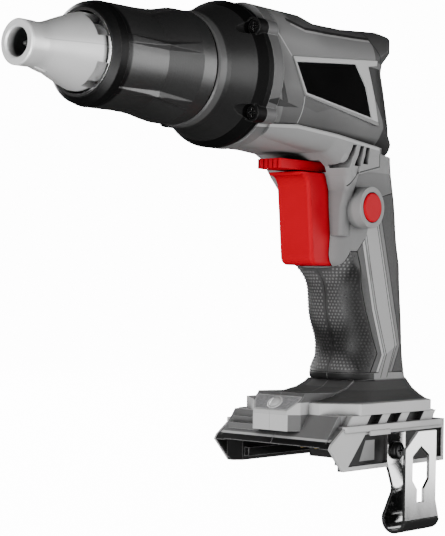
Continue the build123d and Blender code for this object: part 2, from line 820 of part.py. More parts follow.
# Both housing halves before they are parted
with BuildPart() as shell:
    add(barrel_outer)
    add(flank)
    add(gusset)
    add(grip_outer)
    add(foot)
    rod(case_joint_x, case_joint_x + rim_length, rim_radius)
    ear_rods(case_joint_x, case_joint_x + rim_length, case_ear_radius)
    add(hollow.part, mode=Mode.SUBTRACT)
    add(bay.part, mode=Mode.SUBTRACT)
    post_reach = grip_half_width - 1.0
    crossbars(screw_places, post_reach, -post_reach, screw_post_radius)
    pilot = screw_radius + running_clearance
    crossbars(screw_places, screw_seat, -screw_seat, pilot, mode=Mode.SUBTRACT)
    bore_screw_heads(screw_places)
    pilot = case_screw_radius + running_clearance
    ear_rods(case_joint_x, case_joint_x + rim_length - 0.5, pilot, mode=Mode.SUBTRACT)
    # Pockets for the skins and the badge
    add(cover_pocket.part, mode=Mode.SUBTRACT)
    add(grip_pockets.part, mode=Mode.SUBTRACT)
    # Trigger and lever opening
    block(
        (-30.0, switch_front_x),
        (-trigger_half_width - sliding_clearance, trigger_half_width + sliding_clearance),
        (trigger_bottom - sliding_clearance, trigger_top + sliding_clearance),
        mode=Mode.SUBTRACT,
    )
    lever_spread = (lever_pivot_x - lever_front_x) * sin(radians(lever_swing))
    near_half = lever_half_width + 2 * sliding_clearance
    far_half = near_half + lever_spread
    lever_floor = lever_top - lever_thickness - sliding_clearance
    with BuildSketch(Plane.XY.offset(lever_floor)) as lever_slot:
        with BuildLine():
            Polyline(
                (lever_front_x - 2.0, -far_half),
                (lever_front_x - 2.0, far_half),
                (lever_pivot_x, near_half),
                (lever_rear_x + 2.0, near_half),
                (lever_rear_x + 2.0, -near_half),
                (lever_pivot_x, -near_half),
                close=True,
            )
        make_face()
    extrude(lever_slot.sketch, amount=lever_thickness + 2 * sliding_clearance, mode=Mode.SUBTRACT)
    # Lens pocket
    lens_pocket = lens_sketch(lens_margin - seat_clearance)
    extrude(lens_pocket, amount=-lens_thickness - seat_clearance, mode=Mode.SUBTRACT)
    with BuildSketch(lens_plane) as led_well:
        with Locations((lens_length / 2, 0)):
            Circle(led_radius + 2.0)
    extrude(led_well.sketch, amount=-9.0, mode=Mode.SUBTRACT)
    # Vents through both flanks
    for side in (-1, 1):
        with BuildSketch(Plane.XZ.offset(side * (grip_half_width - wall))) as vents:
            for top_x, top_z, length, lean in vent_slots:
                with BuildLine():
                    Polyline(
                        (top_x - vent_slot_width / 2, top_z),
                        (top_x + vent_slot_width / 2, top_z),
                        (top_x - lean + vent_slot_foot / 2, top_z - length),
                        (top_x - lean - vent_slot_foot / 2, top_z - length),
                        close=True,
                    )
                make_face()
        extrude(vents.sketch, amount=side * barrel_half_width, mode=Mode.SUBTRACT)
    # Recess of the hook on both sides, with a seat for its insert
    for side in (-1, 1):
        slab(
            [(-30.5, 2.0), (-18.0, 15.5), (rail_rear_x - 2.0, 15.5), (rail_rear_x - 2.0, 2.0)],
            side * (foot_half_width - hook_recess_depth),
            side * (foot_half_width + 1.0),
            mode=Mode.SUBTRACT,
        )
        block(
            (hook_front_x - sliding_clearance, hook_front_x + hook_tab_width + sliding_clearance),
            sorted((side * (foot_half_width - hook_recess_depth), side * (foot_half_width + 1.0))),
            (-1.0, 3.0),
            mode=Mode.SUBTRACT,
        )
        crossbar(
            hook_screw_x,
            hook_screw_z,
            side * (foot_half_width - hook_recess_depth),
            side * (bay_half_width - 1.0),
            insert_radius + running_clearance,
            mode=Mode.SUBTRACT,
        )

with BuildPart() as left_housing:
    add(shell.part)
    split(bisect_by=Plane.XZ, keep=Keep.TOP)
    crossbar(button_x, button_z, -grip_half_width + wall, -button_boss_reach, button_boss_radius)
    button_floor = grip_half_width + 1.0
    bore = button_radius + sliding_clearance
    crossbar(button_x, button_z, -button_floor, -button_face, bore, mode=Mode.SUBTRACT)
    stem_hole = button_stem_radius + running_clearance
    crossbar(button_x, button_z, 0.0, -button_floor, stem_hole, mode=Mode.SUBTRACT)
left_housing.part.label = "left_housing"

with BuildPart() as right_housing:
    add(shell.part)
    split(bisect_by=Plane.XZ, keep=Keep.BOTTOM)
right_housing.part.label = "right_housing"

with BuildPart() as left_cover:
    slab(cover_zone, -seam_width / 2, -2 * barrel_half_width, margin=seam_width)
    add(barrel_outer, mode=Mode.INTERSECT)
    add(barrel_under_skin, mode=Mode.SUBTRACT)
    slab(frame_outline, -barrel_half_width + skin - 0.2, -2 * barrel_half_width, mode=Mode.SUBTRACT)
left_cover.part.label = "left_cover"

with BuildPart() as right_cover:
    mirror(left_cover.part, about=Plane.XZ)
    bore_screw_heads(screw_places[:2])
right_cover.part.label = "right_cover"

with BuildPart() as badge_frames:
    frame_back = -barrel_half_width + skin - 0.2
    slab(frame_outline, frame_back, -barrel_half_width - 0.4)
    slab(badge_outline, frame_back, -barrel_half_width - 1.0, mode=Mode.SUBTRACT)
    mirror(about=Plane.XZ)
badge_frames.part.label = "badge_frames"

with BuildPart() as badges:
    with BuildSketch(Plane.XZ.offset(-frame_back)):
        with BuildLine():
            Polyline(*badge_outline, close=True)
        make_face()
        offset(amount=-seat_clearance, kind=Kind.INTERSECTION, mode=Mode.REPLACE)
    extrude(amount=skin - 0.3)
    mirror(about=Plane.XZ)
badges.part.label = "badges"

with BuildPart() as left_grip_pad:
    clip_to_grip(pad_zone)
left_grip_pad.part.label = "left_grip_pad"

with BuildPart() as left_grip_band:
    clip_to_grip(band_zone)
left_grip_band.part.label = "left_grip_band"

with BuildPart() as left_back_pad:
    clip_to_grip(back_zone)
left_back_pad.part.label = "left_back_pad"

with BuildPart() as right_grip_pad:
    mirror(left_grip_pad.part, about=Plane.XZ)
    bore_screw_heads(screw_places[2:])
right_grip_pad.part.label = "right_grip_pad"

with BuildPart() as right_grip_band:
    mirror(left_grip_band.part, about=Plane.XZ)
    bore_screw_heads(screw_places[2:])
right_grip_band.part.label = "right_grip_band"

with BuildPart() as right_back_pad:
    mirror(left_back_pad.part, about=Plane.XZ)
    bore_screw_heads(screw_places[2:])
right_back_pad.part.label = "right_back_pad"

with BuildPart() as housing_screws:
    crossbars(screw_places, screw_seat, 1.0 - screw_seat, screw_radius)
    crossbars(screw_places, screw_seat + screw_head_height, screw_seat, screw_head_radius)
    for x, z in screw_places:
        recess_plane = Plane(
            origin=(x, screw_seat + screw_head_height, z), x_dir=(1, 0, 0), z_dir=(0, 1, 0)
        )
        cross_recess(recess_plane, 1.2 * screw_head_radius, 1.4)
housing_screws.part.label = "housing_screws"

# Gear case and what it carries
with BuildPart() as gear_case:
    turn(
        [
            (snout_front_x, 0),
            (snout_front_x, snout_radius),
            (case_boss_front_x, snout_radius),
            (case_boss_front_x, collar_bearing_radius),
            (case_front_x, collar_bearing_radius),
            (case_front_x, rim_radius - 8.0),
            (case_front_x + 0.8, rim_radius - 7.3),
            (case_front_x + 6.5, rim_radius - 6.6),
            (case_front_x + 10.5, rim_radius - 5.4),
            (case_front_x + 14.5, rim_radius - 4.0),
            (case_front_x + 18.5, rim_radius - 2.5),
            (case_front_x + 21.5, rim_radius - 0.8),
            (case_front_x + 23.0, rim_radius),
            (case_joint_x, rim_radius),
            (case_joint_x, 0),
        ]
    )
    ear_rods(ear_front_x, case_joint_x, case_ear_radius)
    head_bore = case_screw_head_radius + sliding_clearance
    ear_rods(case_front_x, head_seat_x, head_bore, mode=Mode.SUBTRACT)
    ear_rods(head_seat_x, case_joint_x, case_screw_radius + running_clearance, mode=Mode.SUBTRACT)
    rod(snout_front_x, bearing_front_x, bush_radius + running_clearance, mode=Mode.SUBTRACT)
    bearing_seat = spindle_bearing_radius + running_clearance
    rod(bearing_front_x - sliding_clearance, disc_front_x, bearing_seat, mode=Mode.SUBTRACT)
    rod(disc_front_x - 0.7, carrier_front_x, dog_outer + 1.0, mode=Mode.SUBTRACT)
    rod(carrier_front_x - 0.5, ring_front_x, carrier_radius + 0.6, mode=Mode.SUBTRACT)
    rod(ring_front_x, case_joint_x, ring_gear_radius + seat_clearance, mode=Mode.SUBTRACT)
    for side in (-1, 1):
        block(
            (snout_front_x, case_boss_front_x),
            sorted((side * (snout_radius - 1.0), side * (snout_radius + 1.2))),
            (spindle_height - 1.2, spindle_height + 1.2),
        )
    tube(-128.0, -126.4, collar_bearing_radius + 1.0, collar_bearing_radius - 1.3, mode=Mode.SUBTRACT)
gear_case.part.label = "gear_case"

with BuildPart() as gear_case_screws:
    ear_rods(head_seat_x, case_joint_x + rim_length - 1.0, case_screw_radius)
    ear_rods(head_seat_x - screw_head_height, head_seat_x, case_screw_head_radius)
    for y, z in ear_places():
        recess_plane = Plane(
            origin=(head_seat_x - screw_head_height, y, spindle_height + z),
            x_dir=(0, 0, 1),
            z_dir=(-1, 0, 0),
        )
        cross_recess(recess_plane, 1.2 * case_screw_head_radius, 1.4)
gear_case_screws.part.label = "gear_case_screws"

with BuildPart() as ring_gear:
    ring_pitch = gear_module * ring_teeth / 2
    with BuildSketch(across(ring_front_x)) as ring_section:
        Circle(ring_gear_radius)
        Circle(ring_pitch + dedendum, mode=Mode.SUBTRACT)
        with PolarLocations(0, ring_teeth, start_angle=180.0 / ring_teeth):
            Polygon(*tooth(ring_pitch, -1), align=None)
    extrude(amount=ring_gear_length)
ring_gear.part.label = "ring_gear"

with BuildPart() as motor_plate:
    rod(motor_plate_x, motor_plate_x + motor_plate_thickness, ring_gear_radius)
    boss_rear_x = front_bearing_x + motor_bearing_width
    rod(motor_plate_x, boss_rear_x, motor_bearing_radius + 2.5)
    rod(front_bearing_x, boss_rear_x, motor_bearing_radius + seat_clearance, mode=Mode.SUBTRACT)
    rod(motor_plate_x, front_bearing_x, shaft_radius + 1.5, mode=Mode.SUBTRACT)
motor_plate.part.label = "motor_plate"

with BuildPart() as spindle_bush:
    tube(bush_front_x, bush_rear_x, bush_radius, spindle_radius + running_clearance)
spindle_bush.part.label = "spindle_bush"

with BuildPart() as collar_retainer:
    tube(-127.9, -126.5, collar_bearing_radius + 0.9, collar_bearing_radius - 1.2)
    block(
        (-130.0, -124.0),
        (-2.5, 2.5),
        (spindle_height - 2 * collar_bearing_radius, spindle_height),
        mode=Mode.SUBTRACT,
    )
collar_retainer.part.label = "collar_retainer"

# Depth-setting nose
with BuildPart() as scallop:
    scallop_reach = collar_rear_radius + 3.0
    for x, floor in (
        (collar_front_x + 6.0, collar_front_radius + 0.5),
        (collar_front_x + 30.0, collar_mid_radius - scallop_depth),
        (collar_front_x + 46.5, collar_rear_radius),
    ):
        spread = degrees(scallop_wall_slope * (scallop_reach - floor) / collar_mid_radius)
        with BuildSketch(across(x)):
            with BuildLine():
                low = CenterArc((0, 0), floor, -scallop_angle / 2, scallop_angle)
                high = CenterArc((0, 0), scallop_reach, -scallop_angle / 2 - spread, scallop_angle + 2 * spread)
                Line(low @ 0, high @ 0)
                Line(low @ 1, high @ 1)
            make_face()
    loft(ruled=True)

with BuildPart() as depth_collar:
    turn(
        [
            (collar_front_x, nose_skirt_radius + 1.0),
            (collar_front_x, collar_ring_radius + 0.1),
            (collar_front_x + 2.5, collar_front_radius),
            (collar_front_x + 6.0, collar_front_radius + 0.8),
            (collar_front_x + 24.0, collar_front_radius + 0.8),
            (collar_front_x + 33.5, collar_mid_radius),
            (collar_front_x + 41.0, collar_rear_radius - 0.7),
            (collar_front_x + 46.0, collar_rear_radius),
            (collar_rear_x - 1.0, collar_rear_radius),
            (collar_rear_x, collar_rear_radius - 0.8),
            (collar_rear_x, collar_bearing_radius + running_clearance),
            (case_boss_front_x - 1.5, collar_bearing_radius + running_clearance),
            (case_boss_front_x - 1.5, sleeve_flange_radius + sliding_clearance),
            (collar_front_x + 12.0, sleeve_flange_radius + sliding_clearance),
            (collar_front_x + 12.0, nose_skirt_radius + 1.0),
        ]
    )
    ring_pocket = collar_ring_radius + seat_clearance
    tube(collar_front_x, collar_front_x + 1.2, ring_pocket, nose_skirt_radius, mode=Mode.SUBTRACT)
    tube(-128.1, -126.3, collar_bearing_radius + 1.1, collar_bearing_radius - 1.0, mode=Mode.SUBTRACT)
    for index in range(scallop_count):
        turned = 360.0 / scallop_count * index + scallop_tilt
        add(scallop.part.rotate(spindle_axis, turned), mode=Mode.SUBTRACT)
depth_collar.part.label = "depth_collar"

with BuildPart() as collar_ring:
    tube(collar_front_x - 0.4, collar_front_x + 1.1, collar_ring_radius, nose_skirt_radius + 0.9)
collar_ring.part.label = "collar_ring"

with BuildPart() as depth_sleeve:
    sleeve_rear_x = sleeve_flange_x + sleeve_flange_length
    tube(sleeve_front_x, sleeve_rear_x, sleeve_radius, sleeve_bore)
    tube(sleeve_flange_x, sleeve_rear_x, sleeve_flange_radius, sleeve_bore)
    ring_x = sleeve_front_x + 12.0
    tube(ring_x, ring_x + 1.4, sleeve_radius + 1.0, sleeve_radius - 0.9, mode=Mode.SUBTRACT)
    for side in (-1, 1):
        block(
            (snout_front_x - depth_travel - 1.0, sleeve_rear_x),
            sorted((side * (sleeve_bore - 1.0), side * (snout_radius + 1.5))),
            (spindle_height - 1.5, spindle_height + 1.5),
            mode=Mode.SUBTRACT,
        )
depth_sleeve.part.label = "depth_sleeve"

with BuildPart() as nose_retaining_ring:
    tube(ring_x + 0.1, ring_x + 1.3, sleeve_radius + 0.2, sleeve_radius - 0.8)
    block(
        (ring_x - 1.0, ring_x + 3.0),
        (-2.0, 2.0),
        (spindle_height - 2 * sleeve_radius, spindle_height),
        mode=Mode.SUBTRACT,
    )
nose_retaining_ring.part.label = "nose_retaining_ring"

with BuildPart() as window:
    window_front_x = nose_face_x + 29.0
    turn(
        [
            (window_front_x, nose_bore + 4.0),
            (window_front_x, nose_skirt_radius + 2.0),
            (window_front_x + nose_window_length, nose_skirt_radius + 2.0),
            (window_front_x + nose_window_length, nose_bore + 4.0),
        ],
        angle=nose_window_angle,
    )

with BuildPart() as nose_cone:
    skirt_bore = sleeve_radius + sliding_clearance
    turn(
        [
            (nose_face_x, nose_bore + 0.6),
            (nose_face_x, nose_tip_radius - 0.5),
            (nose_face_x + 0.5, nose_tip_radius),
            (nose_face_x + 6.0, nose_tip_radius - 0.1),
            (nose_face_x + 9.0, nose_neck_radius),
            (nose_face_x + 11.5, nose_neck_radius + 0.3),
            (nose_face_x + 14.5, nose_neck_radius + 1.2),
            (nose_face_x + 21.0, nose_neck_radius + 3.6),
            (nose_face_x + 27.0, nose_skirt_radius - 1.1),
            (nose_face_x + 31.0, nose_skirt_radius),
            (skirt_rear_x, nose_skirt_radius),
            (skirt_rear_x, skirt_bore),
            (sleeve_front_x - 0.6, skirt_bore),
            (nose_face_x + 12.0, nose_bore + 0.3),
            (nose_face_x + 3.0, nose_bore),
            (nose_face_x + 0.6, nose_bore),
        ]
    )
    for index in range(4):
        turned = 45.0 + 90.0 * index - nose_window_angle / 2
        add(window.part.rotate(spindle_axis, turned), mode=Mode.SUBTRACT)
    with BuildSketch(Plane.XZ.offset(-1.5)):
        with BuildLine():
            Polyline(
                (nose_face_x + 5.0, spindle_height - nose_tip_radius + 1.0),
                (nose_face_x + 9.0, spindle_height - nose_tip_radius - 0.2),
                (nose_face_x + 13.5, spindle_height - nose_neck_radius - 1.6),
                (nose_face_x + 16.5, spindle_height - nose_neck_radius - 1.0),
                close=True,
            )
        make_face()
    extrude(amount=3.0)
nose_cone.part.label = "nose_cone"

# Spindle and what turns with it
with BuildPart() as spindle:
    rod(spindle_front_x, bearing_rear_x + running_clearance, spindle_radius)
    rod(bearing_rear_x + running_clearance, disc_front_x, spindle_shoulder_radius)
    rod(disc_front_x, disc_rear_x, dog_outer)
    dogs(disc_rear_x, disc_rear_x + dog_height, 0.0)
    hex_rod(
        spindle_front_x,
        spindle_front_x + holder_shank + 1.0,
        hex_across_flats + 2 * running_clearance,
        mode=Mode.SUBTRACT,
    )
spindle.part.label = "spindle"

with BuildPart() as spindle_clip:
    tube(bearing_front_x - 1.4, bearing_front_x - 0.2, spindle_radius + 1.3, spindle_radius + 0.02)
spindle_clip.part.label = "spindle_clip"

with BuildPart() as spindle_bearing:
    tube(
        bearing_front_x,
        bearing_rear_x,
        spindle_bearing_radius,
        spindle_radius + running_clearance,
    )
    middle = (spindle_bearing_radius + spindle_radius) / 2
    for groove_x in (bearing_front_x, bearing_rear_x - 0.5):
        tube(groove_x, groove_x + 0.5, middle + 0.9, middle - 0.9, mode=Mode.SUBTRACT)
spindle_bearing.part.label = "spindle_bearing"

with BuildPart() as bit_holder:
    rod(holder_front_x, spindle_front_x - 0.2, holder_radius)
    hex_rod(spindle_front_x - 0.2, spindle_front_x + holder_shank, hex_across_flats)
    chamfer(bit_holder.faces().sort_by(Axis.X)[0].edges(), length=0.6)
    hex_rod(
        holder_front_x,
        bit_rear_x + 0.2,
        hex_across_flats + 2 * running_clearance,
        mode=Mode.SUBTRACT,
    )
    rod(bit_rear_x, bit_rear_x + 3.2, 2.65, mode=Mode.SUBTRACT)
    tube(holder_front_x + 4.0, holder_front_x + 5.2, holder_radius + 1.0, holder_radius - 0.6, mode=Mode.SUBTRACT)
bit_holder.part.label = "bit_holder"

with BuildPart() as holder_magnet:
    rod(bit_rear_x + 0.3, bit_rear_x + 3.1, 2.6)
holder_magnet.part.label = "holder_magnet"

with BuildPart() as flute:
    with BuildSketch(across(bit_tip_x - 1.0)):
        with Locations((0.5, 0.5)):
            Rectangle(4.0, 4.0, align=(Align.MIN, Align.MIN))
    with BuildSketch(across(bit_tip_x + 7.0)):
        with Locations((1.9, 1.9)):
            Rectangle(4.0, 4.0, align=(Align.MIN, Align.MIN))
    loft()

with BuildPart() as screwdriver_bit:
    hex_rod(bit_tip_x + 9.5, bit_rear_x, hex_across_flats)
    turn(
        [
            (bit_tip_x, 0),
            (bit_tip_x, 0.6),
            (bit_tip_x + 5.5, 2.6),
            (bit_tip_x + 8.0, 2.6),
            (bit_tip_x + 9.6, 3.1),
            (bit_tip_x + 9.6, 0),
        ]
    )
    for index in range(4):
        add(flute.part.rotate(spindle_axis, 45.0 + 90.0 * index), mode=Mode.SUBTRACT)
screwdriver_bit.part.label = "screwdriver_bit"

with BuildPart() as clutch_spring:
    spring_start = (disc_rear_x + 0.1, 0, spindle_height)
    coil(spring_start, (1, 0, 0), 4.6, 0.8, carrier_front_x - disc_rear_x - 0.2, 3)
clutch_spring.part.label = "clutch_spring"

# Planetary stage
with BuildPart() as planet_carrier:
    rod(carrier_front_x, carrier_rear_x, carrier_radius)
    dogs(carrier_front_x - dog_height, carrier_front_x, 180.0 / dog_count)
    with BuildSketch(across(carrier_rear_x)) as pins:
        with Locations(*[planet_center(index) for index in range(planet_count)]):
            Circle(planet_pin_radius)
    extrude(pins.sketch, amount=planet_rear_x + 0.4 - carrier_rear_x)
planet_carrier.part.label = "planet_carrier"

with BuildPart() as planet_gear_1:
    spur_gear(planet_front_x, planet_rear_x, planet_teeth, pin_bore, planet_center(0))
planet_gear_1.part.label = "planet_gear_1"

with BuildPart() as planet_gear_2:
    spur_gear(planet_front_x, planet_rear_x, planet_teeth, pin_bore, planet_center(1))
planet_gear_2.part.label = "planet_gear_2"

with BuildPart() as planet_gear_3:
    spur_gear(planet_front_x, planet_rear_x, planet_teeth, pin_bore, planet_center(2))
planet_gear_3.part.label = "planet_gear_3"

# Motor
with BuildPart() as rotor_shaft:
    rod(shaft_front_x, shaft_rear_x, shaft_radius)
    chamfer(rotor_shaft.faces().sort_by(Axis.X)[0].edges(), length=0.4)
    spur_gear(planet_front_x, planet_rear_x, sun_teeth, shaft_radius - 0.5)
rotor_shaft.part.label = "rotor_shaft"

with BuildPart() as rotor_core:
    tube(stack_front_x, stack_rear_x, rotor_radius, shaft_radius + 0.02)
rotor_core.part.label = "rotor_core"

with BuildPart() as stator_core:
    tube(stack_front_x, stack_rear_x, stator_radius, stator_radius - stator_yoke)
    with BuildSketch(across(stack_front_x)) as teeth:
        with PolarLocations(0, tooth_count):
            with Locations(((stator_bore + stator_radius - 1.0) / 2, 0)):
                Rectangle(stator_radius - 1.0 - stator_bore, stator_tooth_width)
        with PolarLocations(0, tooth_count):
            with Locations((stator_bore + 0.8, 0)):
                Rectangle(1.6, stator_tooth_width + 4.0)
        Circle(stator_bore, mode=Mode.SUBTRACT)
    extrude(teeth.sketch, amount=stack_length)
stator_core.part.label = "stator_core"

with BuildPart() as stator_coils:
    coil_bottom = stator_bore + 1.7
    coil_top = sqrt((stator_radius - stator_yoke - 0.3) ** 2 - (coil_width / 2) ** 2)
    with BuildSketch(across(stack_front_x - coil_overhang)) as windings:
        with PolarLocations(0, tooth_count):
            with Locations(((coil_bottom + coil_top) / 2, 0)):
                Rectangle(coil_top - coil_bottom, coil_width)
    extrude(windings.sketch, amount=stack_length + 2 * coil_overhang)
    with BuildSketch(across(stack_front_x - seat_clearance)) as cores:
        with PolarLocations(0, tooth_count):
            with Locations(((coil_bottom + coil_top) / 2, 0)):
                Rectangle(stator_yoke + coil_top - coil_bottom, stator_tooth_width + 2 * seat_clearance)
    extrude(cores.sketch, amount=stack_length + 2 * seat_clearance, mode=Mode.SUBTRACT)
stator_coils.part.label = "stator_coils"

with BuildPart() as sensor_board:
    tube(sensor_board_x, sensor_board_x + board_thickness, stator_radius, shaft_radius + 4.0)
sensor_board.part.label = "sensor_board"

with BuildPart() as cooling_fan:
    fan_rear_x = fan_front_x + fan_length
    rod(fan_front_x, fan_rear_x, shaft_radius + 3.0)
    rod(fan_rear_x - 1.6, fan_rear_x, fan_radius)
    with BuildSketch(across(fan_front_x + 1.5)) as blades:
        with PolarLocations(0, fan_blade_count):
            with Locations((fan_radius * 0.7, 1.5)):
                Rectangle(fan_radius * 0.55, 1.4, rotation=24.0)
    extrude(blades.sketch, amount=fan_length - 2.5)
    rod(fan_front_x, fan_rear_x, shaft_radius + 0.02, mode=Mode.SUBTRACT)
cooling_fan.part.label = "cooling_fan"


with BuildPart() as motor_bearings:
    race_middle = (motor_bearing_radius + shaft_radius) / 2
    for bearing_x in (front_bearing_x, rear_bearing_x):
        back_x = bearing_x + motor_bearing_width
        tube(bearing_x, back_x, motor_bearing_radius, shaft_radius + running_clearance)
        for groove_x in (bearing_x, back_x - 0.5):
            tube(groove_x, groove_x + 0.5, race_middle + 1.2, race_middle - 1.2, mode=Mode.SUBTRACT)
motor_bearings.part.label = "motor_bearings"

# Controls
with BuildPart() as trigger:
    cove_x = trigger_front_x - trigger_cove
    cove_top = trigger_top - 1.5
    cove_low = cove_top - trigger_cove
    with BuildSketch(Plane.XZ.offset(-trigger_half_width)) as trigger_side:
        with BuildLine():
            Polyline(
                (cove_x, cove_top),
                (cove_x, trigger_top),
                (trigger_rear_x, trigger_top),
                (trigger_rear_x, trigger_bottom),
                (trigger_foot_x, trigger_bottom),
                (trigger_front_x, cove_low),
            )
            RadiusArc((trigger_front_x, cove_low), (cove_x, cove_top), -trigger_cove)
        make_face()
        toe = trigger_side.vertices().group_by(Axis.Y)[0].sort_by(Axis.X)[0]
        fillet(toe, radius=trigger_toe_round)
    extrude(amount=2 * trigger_half_width)
    sides = trigger.edges().filter_by(Axis.Y, reverse=True)
    front_sides = sides.filter_by(lambda edge: edge.center().X < trigger_foot_x + 2.0)
    fillet(front_sides.filter_by(lambda edge: edge.center().Z < cove_top), radius=trigger_edge)
trigger.part.label = "trigger"

with BuildPart() as switch_plunger:
    with BuildSketch(Plane.YZ.offset(trigger_rear_x)):
        with Locations((0, (trigger_top + trigger_bottom) / 2)):
            Circle(plunger_radius)
    extrude(amount=switch_front_x + 2.0 - trigger_rear_x)
switch_plunger.part.label = "switch_plunger"

with BuildPart() as trigger_spring:
    spring_start = (trigger_rear_x + 0.1, 0, (trigger_top + trigger_bottom) / 2)
    coil(spring_start, (1, 0, 0), 4.2, 0.7, switch_front_x - trigger_rear_x - 0.2, 4)
trigger_spring.part.label = "trigger_spring"

with BuildPart() as switch_module:
    block(
        (switch_front_x, switch_rear_x),
        (-switch_half_width, switch_half_width),
        (switch_bottom, switch_top),
    )
    fillet(switch_module.edges().filter_by(Axis.Z), radius=1.5)
    with BuildSketch(Plane.YZ.offset(switch_front_x)) as plunger_hole:
        with Locations((0, (trigger_top + trigger_bottom) / 2)):
            Circle(plunger_radius + running_clearance)
    extrude(plunger_hole.sketch, amount=2.0 + trigger_travel + 1.0, mode=Mode.SUBTRACT)
    with BuildSketch(Plane.XY.offset(switch_top)) as pivot_post:
        with Locations((lever_pivot_x, 0)):
            Circle(lever_pivot_radius)
    extrude(pivot_post.sketch, amount=sliding_clearance + lever_thickness)
switch_module.part.label = "switch_module"

with BuildPart() as direction_lever:
    lever_bottom = lever_top - lever_thickness
    with BuildSketch(Plane.XY.offset(lever_bottom)):
        with BuildLine():
            half = Polyline(
                (lever_front_x, 0),
                (lever_front_x, lever_half_width),
                (lever_pivot_x - 8.0, lever_half_width),
                (lever_rear_x, lever_half_width - 2.6),
                (lever_rear_x, 0),
            )
            mirror(half, about=Plane.XZ)
        make_face()
        with Locations((lever_pivot_x, 0)):
            Circle(lever_pivot_radius + running_clearance, mode=Mode.SUBTRACT)
    extrude(amount=lever_thickness)
    corners = direction_lever.edges().filter_by(Axis.Z).group_by(Axis.X)[0]
    fillet(corners, radius=1.0)
    with BuildSketch(Plane.XY.offset(lever_bottom)) as rib_cuts:
        with GridLocations(1.0, 2.6, 1, 5):
            with Locations((lever_front_x, 0)):
                Rectangle(1.0, 1.0)
    extrude(rib_cuts.sketch, amount=lever_thickness, mode=Mode.SUBTRACT)
direction_lever.part.label = "direction_lever"

with BuildPart() as lock_button:
    head_back = button_floor + button_travel + 1.5
    crossbar(button_x, button_z, -head_back, -button_face, button_radius)
    fillet(lock_button.faces().sort_by(Axis.Y)[0].edges(), radius=0.8)
    crossbar(button_x, button_z, -switch_half_width - button_travel - 0.6, -head_back, button_stem_radius)
lock_button.part.label = "lock_button"

with BuildPart() as lock_button_spring:
    spring_start = (button_x, -button_floor - 0.1, button_z)
    coil(spring_start, (0, -1, 0), 4.6, 0.6, head_back - button_floor - 0.2, 2)
lock_button_spring.part.label = "lock_button_spring"

# Electronics in the foot
with BuildPart() as control_module:
    block((-16.0, 28.0), (-20.0, 20.0), (electronics_floor + 0.1, electronics_top - 2.0))
    fillet(control_module.edges().filter_by(Axis.Z), radius=2.0)
control_module.part.label = "control_module"

with BuildPart() as terminal_block:
    block((6.0, bay_rear_x - 0.2), (-17.0, 17.0), (0.5, bay_height - 0.1))
    fillet(terminal_block.edges().filter_by(Axis.Z), radius=1.5)
terminal_block.part.label = "terminal_block"

with BuildPart() as terminal_blades:
    for y in (-12.0, -4.0, 4.0, 12.0):
        block((-6.0, 5.9), (y - 0.45, y + 0.45), (5.5, 12.5))
terminal_blades.part.label = "terminal_blades"

with BuildPart() as lamp_lens:
    extrude(lens_sketch(lens_margin), amount=-lens_thickness)
lamp_lens.part.label = "lamp_lens"

with BuildPart() as lamp_board:
    with BuildSketch(lens_plane.offset(-lens_thickness - 4.0)) as board_face:
        with Locations((lens_length / 2, 0)):
            Circle(led_radius + 1.6)
    extrude(board_face.sketch, amount=-1.2)
    with BuildSketch(lens_plane.offset(-lens_thickness - 4.0)) as led:
        with Locations((lens_length / 2, 0)):
            Circle(led_radius)
    extrude(led.sketch, amount=3.0)
    fillet(lamp_board.faces().sort_by(Axis.Z)[-1].edges(), radius=1.4)
lamp_board.part.label = "lamp_board"


def lead(points, radius):
    """One insulated wire along straight runs and arcs."""
    runs = [(Vector(b) - Vector(a)).length for a, b in zip(points, points[1:])]
    radii = []
    for index in range(1, len(points) - 1):
        before = Vector(points[index]) - Vector(points[index - 1])
        after = Vector(points[index + 1]) - Vector(points[index])
        bend = radians(before.get_angle(after))
        radii.append(0.45 * min(runs[index - 1], runs[index]) / tan(bend / 2))
    with BuildLine() as route:
        FilletPolyline(*points, radius=radii)
    with BuildSketch(Plane(origin=route.line @ 0, z_dir=route.line % 0)) as section:
        Circle(radius)
    sweep(section.sketch, path=route.line)


lead_radius = 1.0
with BuildPart() as motor_leads:
    lead_top = spindle_height - stator_radius - 2.6
    for y in (-4.0, 0.0, 4.0):
        lead(
            [
                (stack_rear_x + coil_overhang + 1.0, y, lead_top),
                (10.0, y, lead_top),
                (23.3, y, lead_top - 9.6),
                (23.3, y, 99.0),
                (17.5, y, 84.0),
                (17.5, y, electronics_top - 1.9),
            ],
            lead_radius,
        )
motor_leads.part.label = "motor_leads"

with BuildPart() as battery_leads:
    for y in (-6.0, 6.0):
        lead(
            [
                (12.0, y, switch_bottom - 0.1),
                (12.0, y, 76.0),
                (14.5, y, 58.0),
                (14.5, y, electronics_top - 1.9),
            ],
            lead_radius,
        )
battery_leads.part.label = "battery_leads"

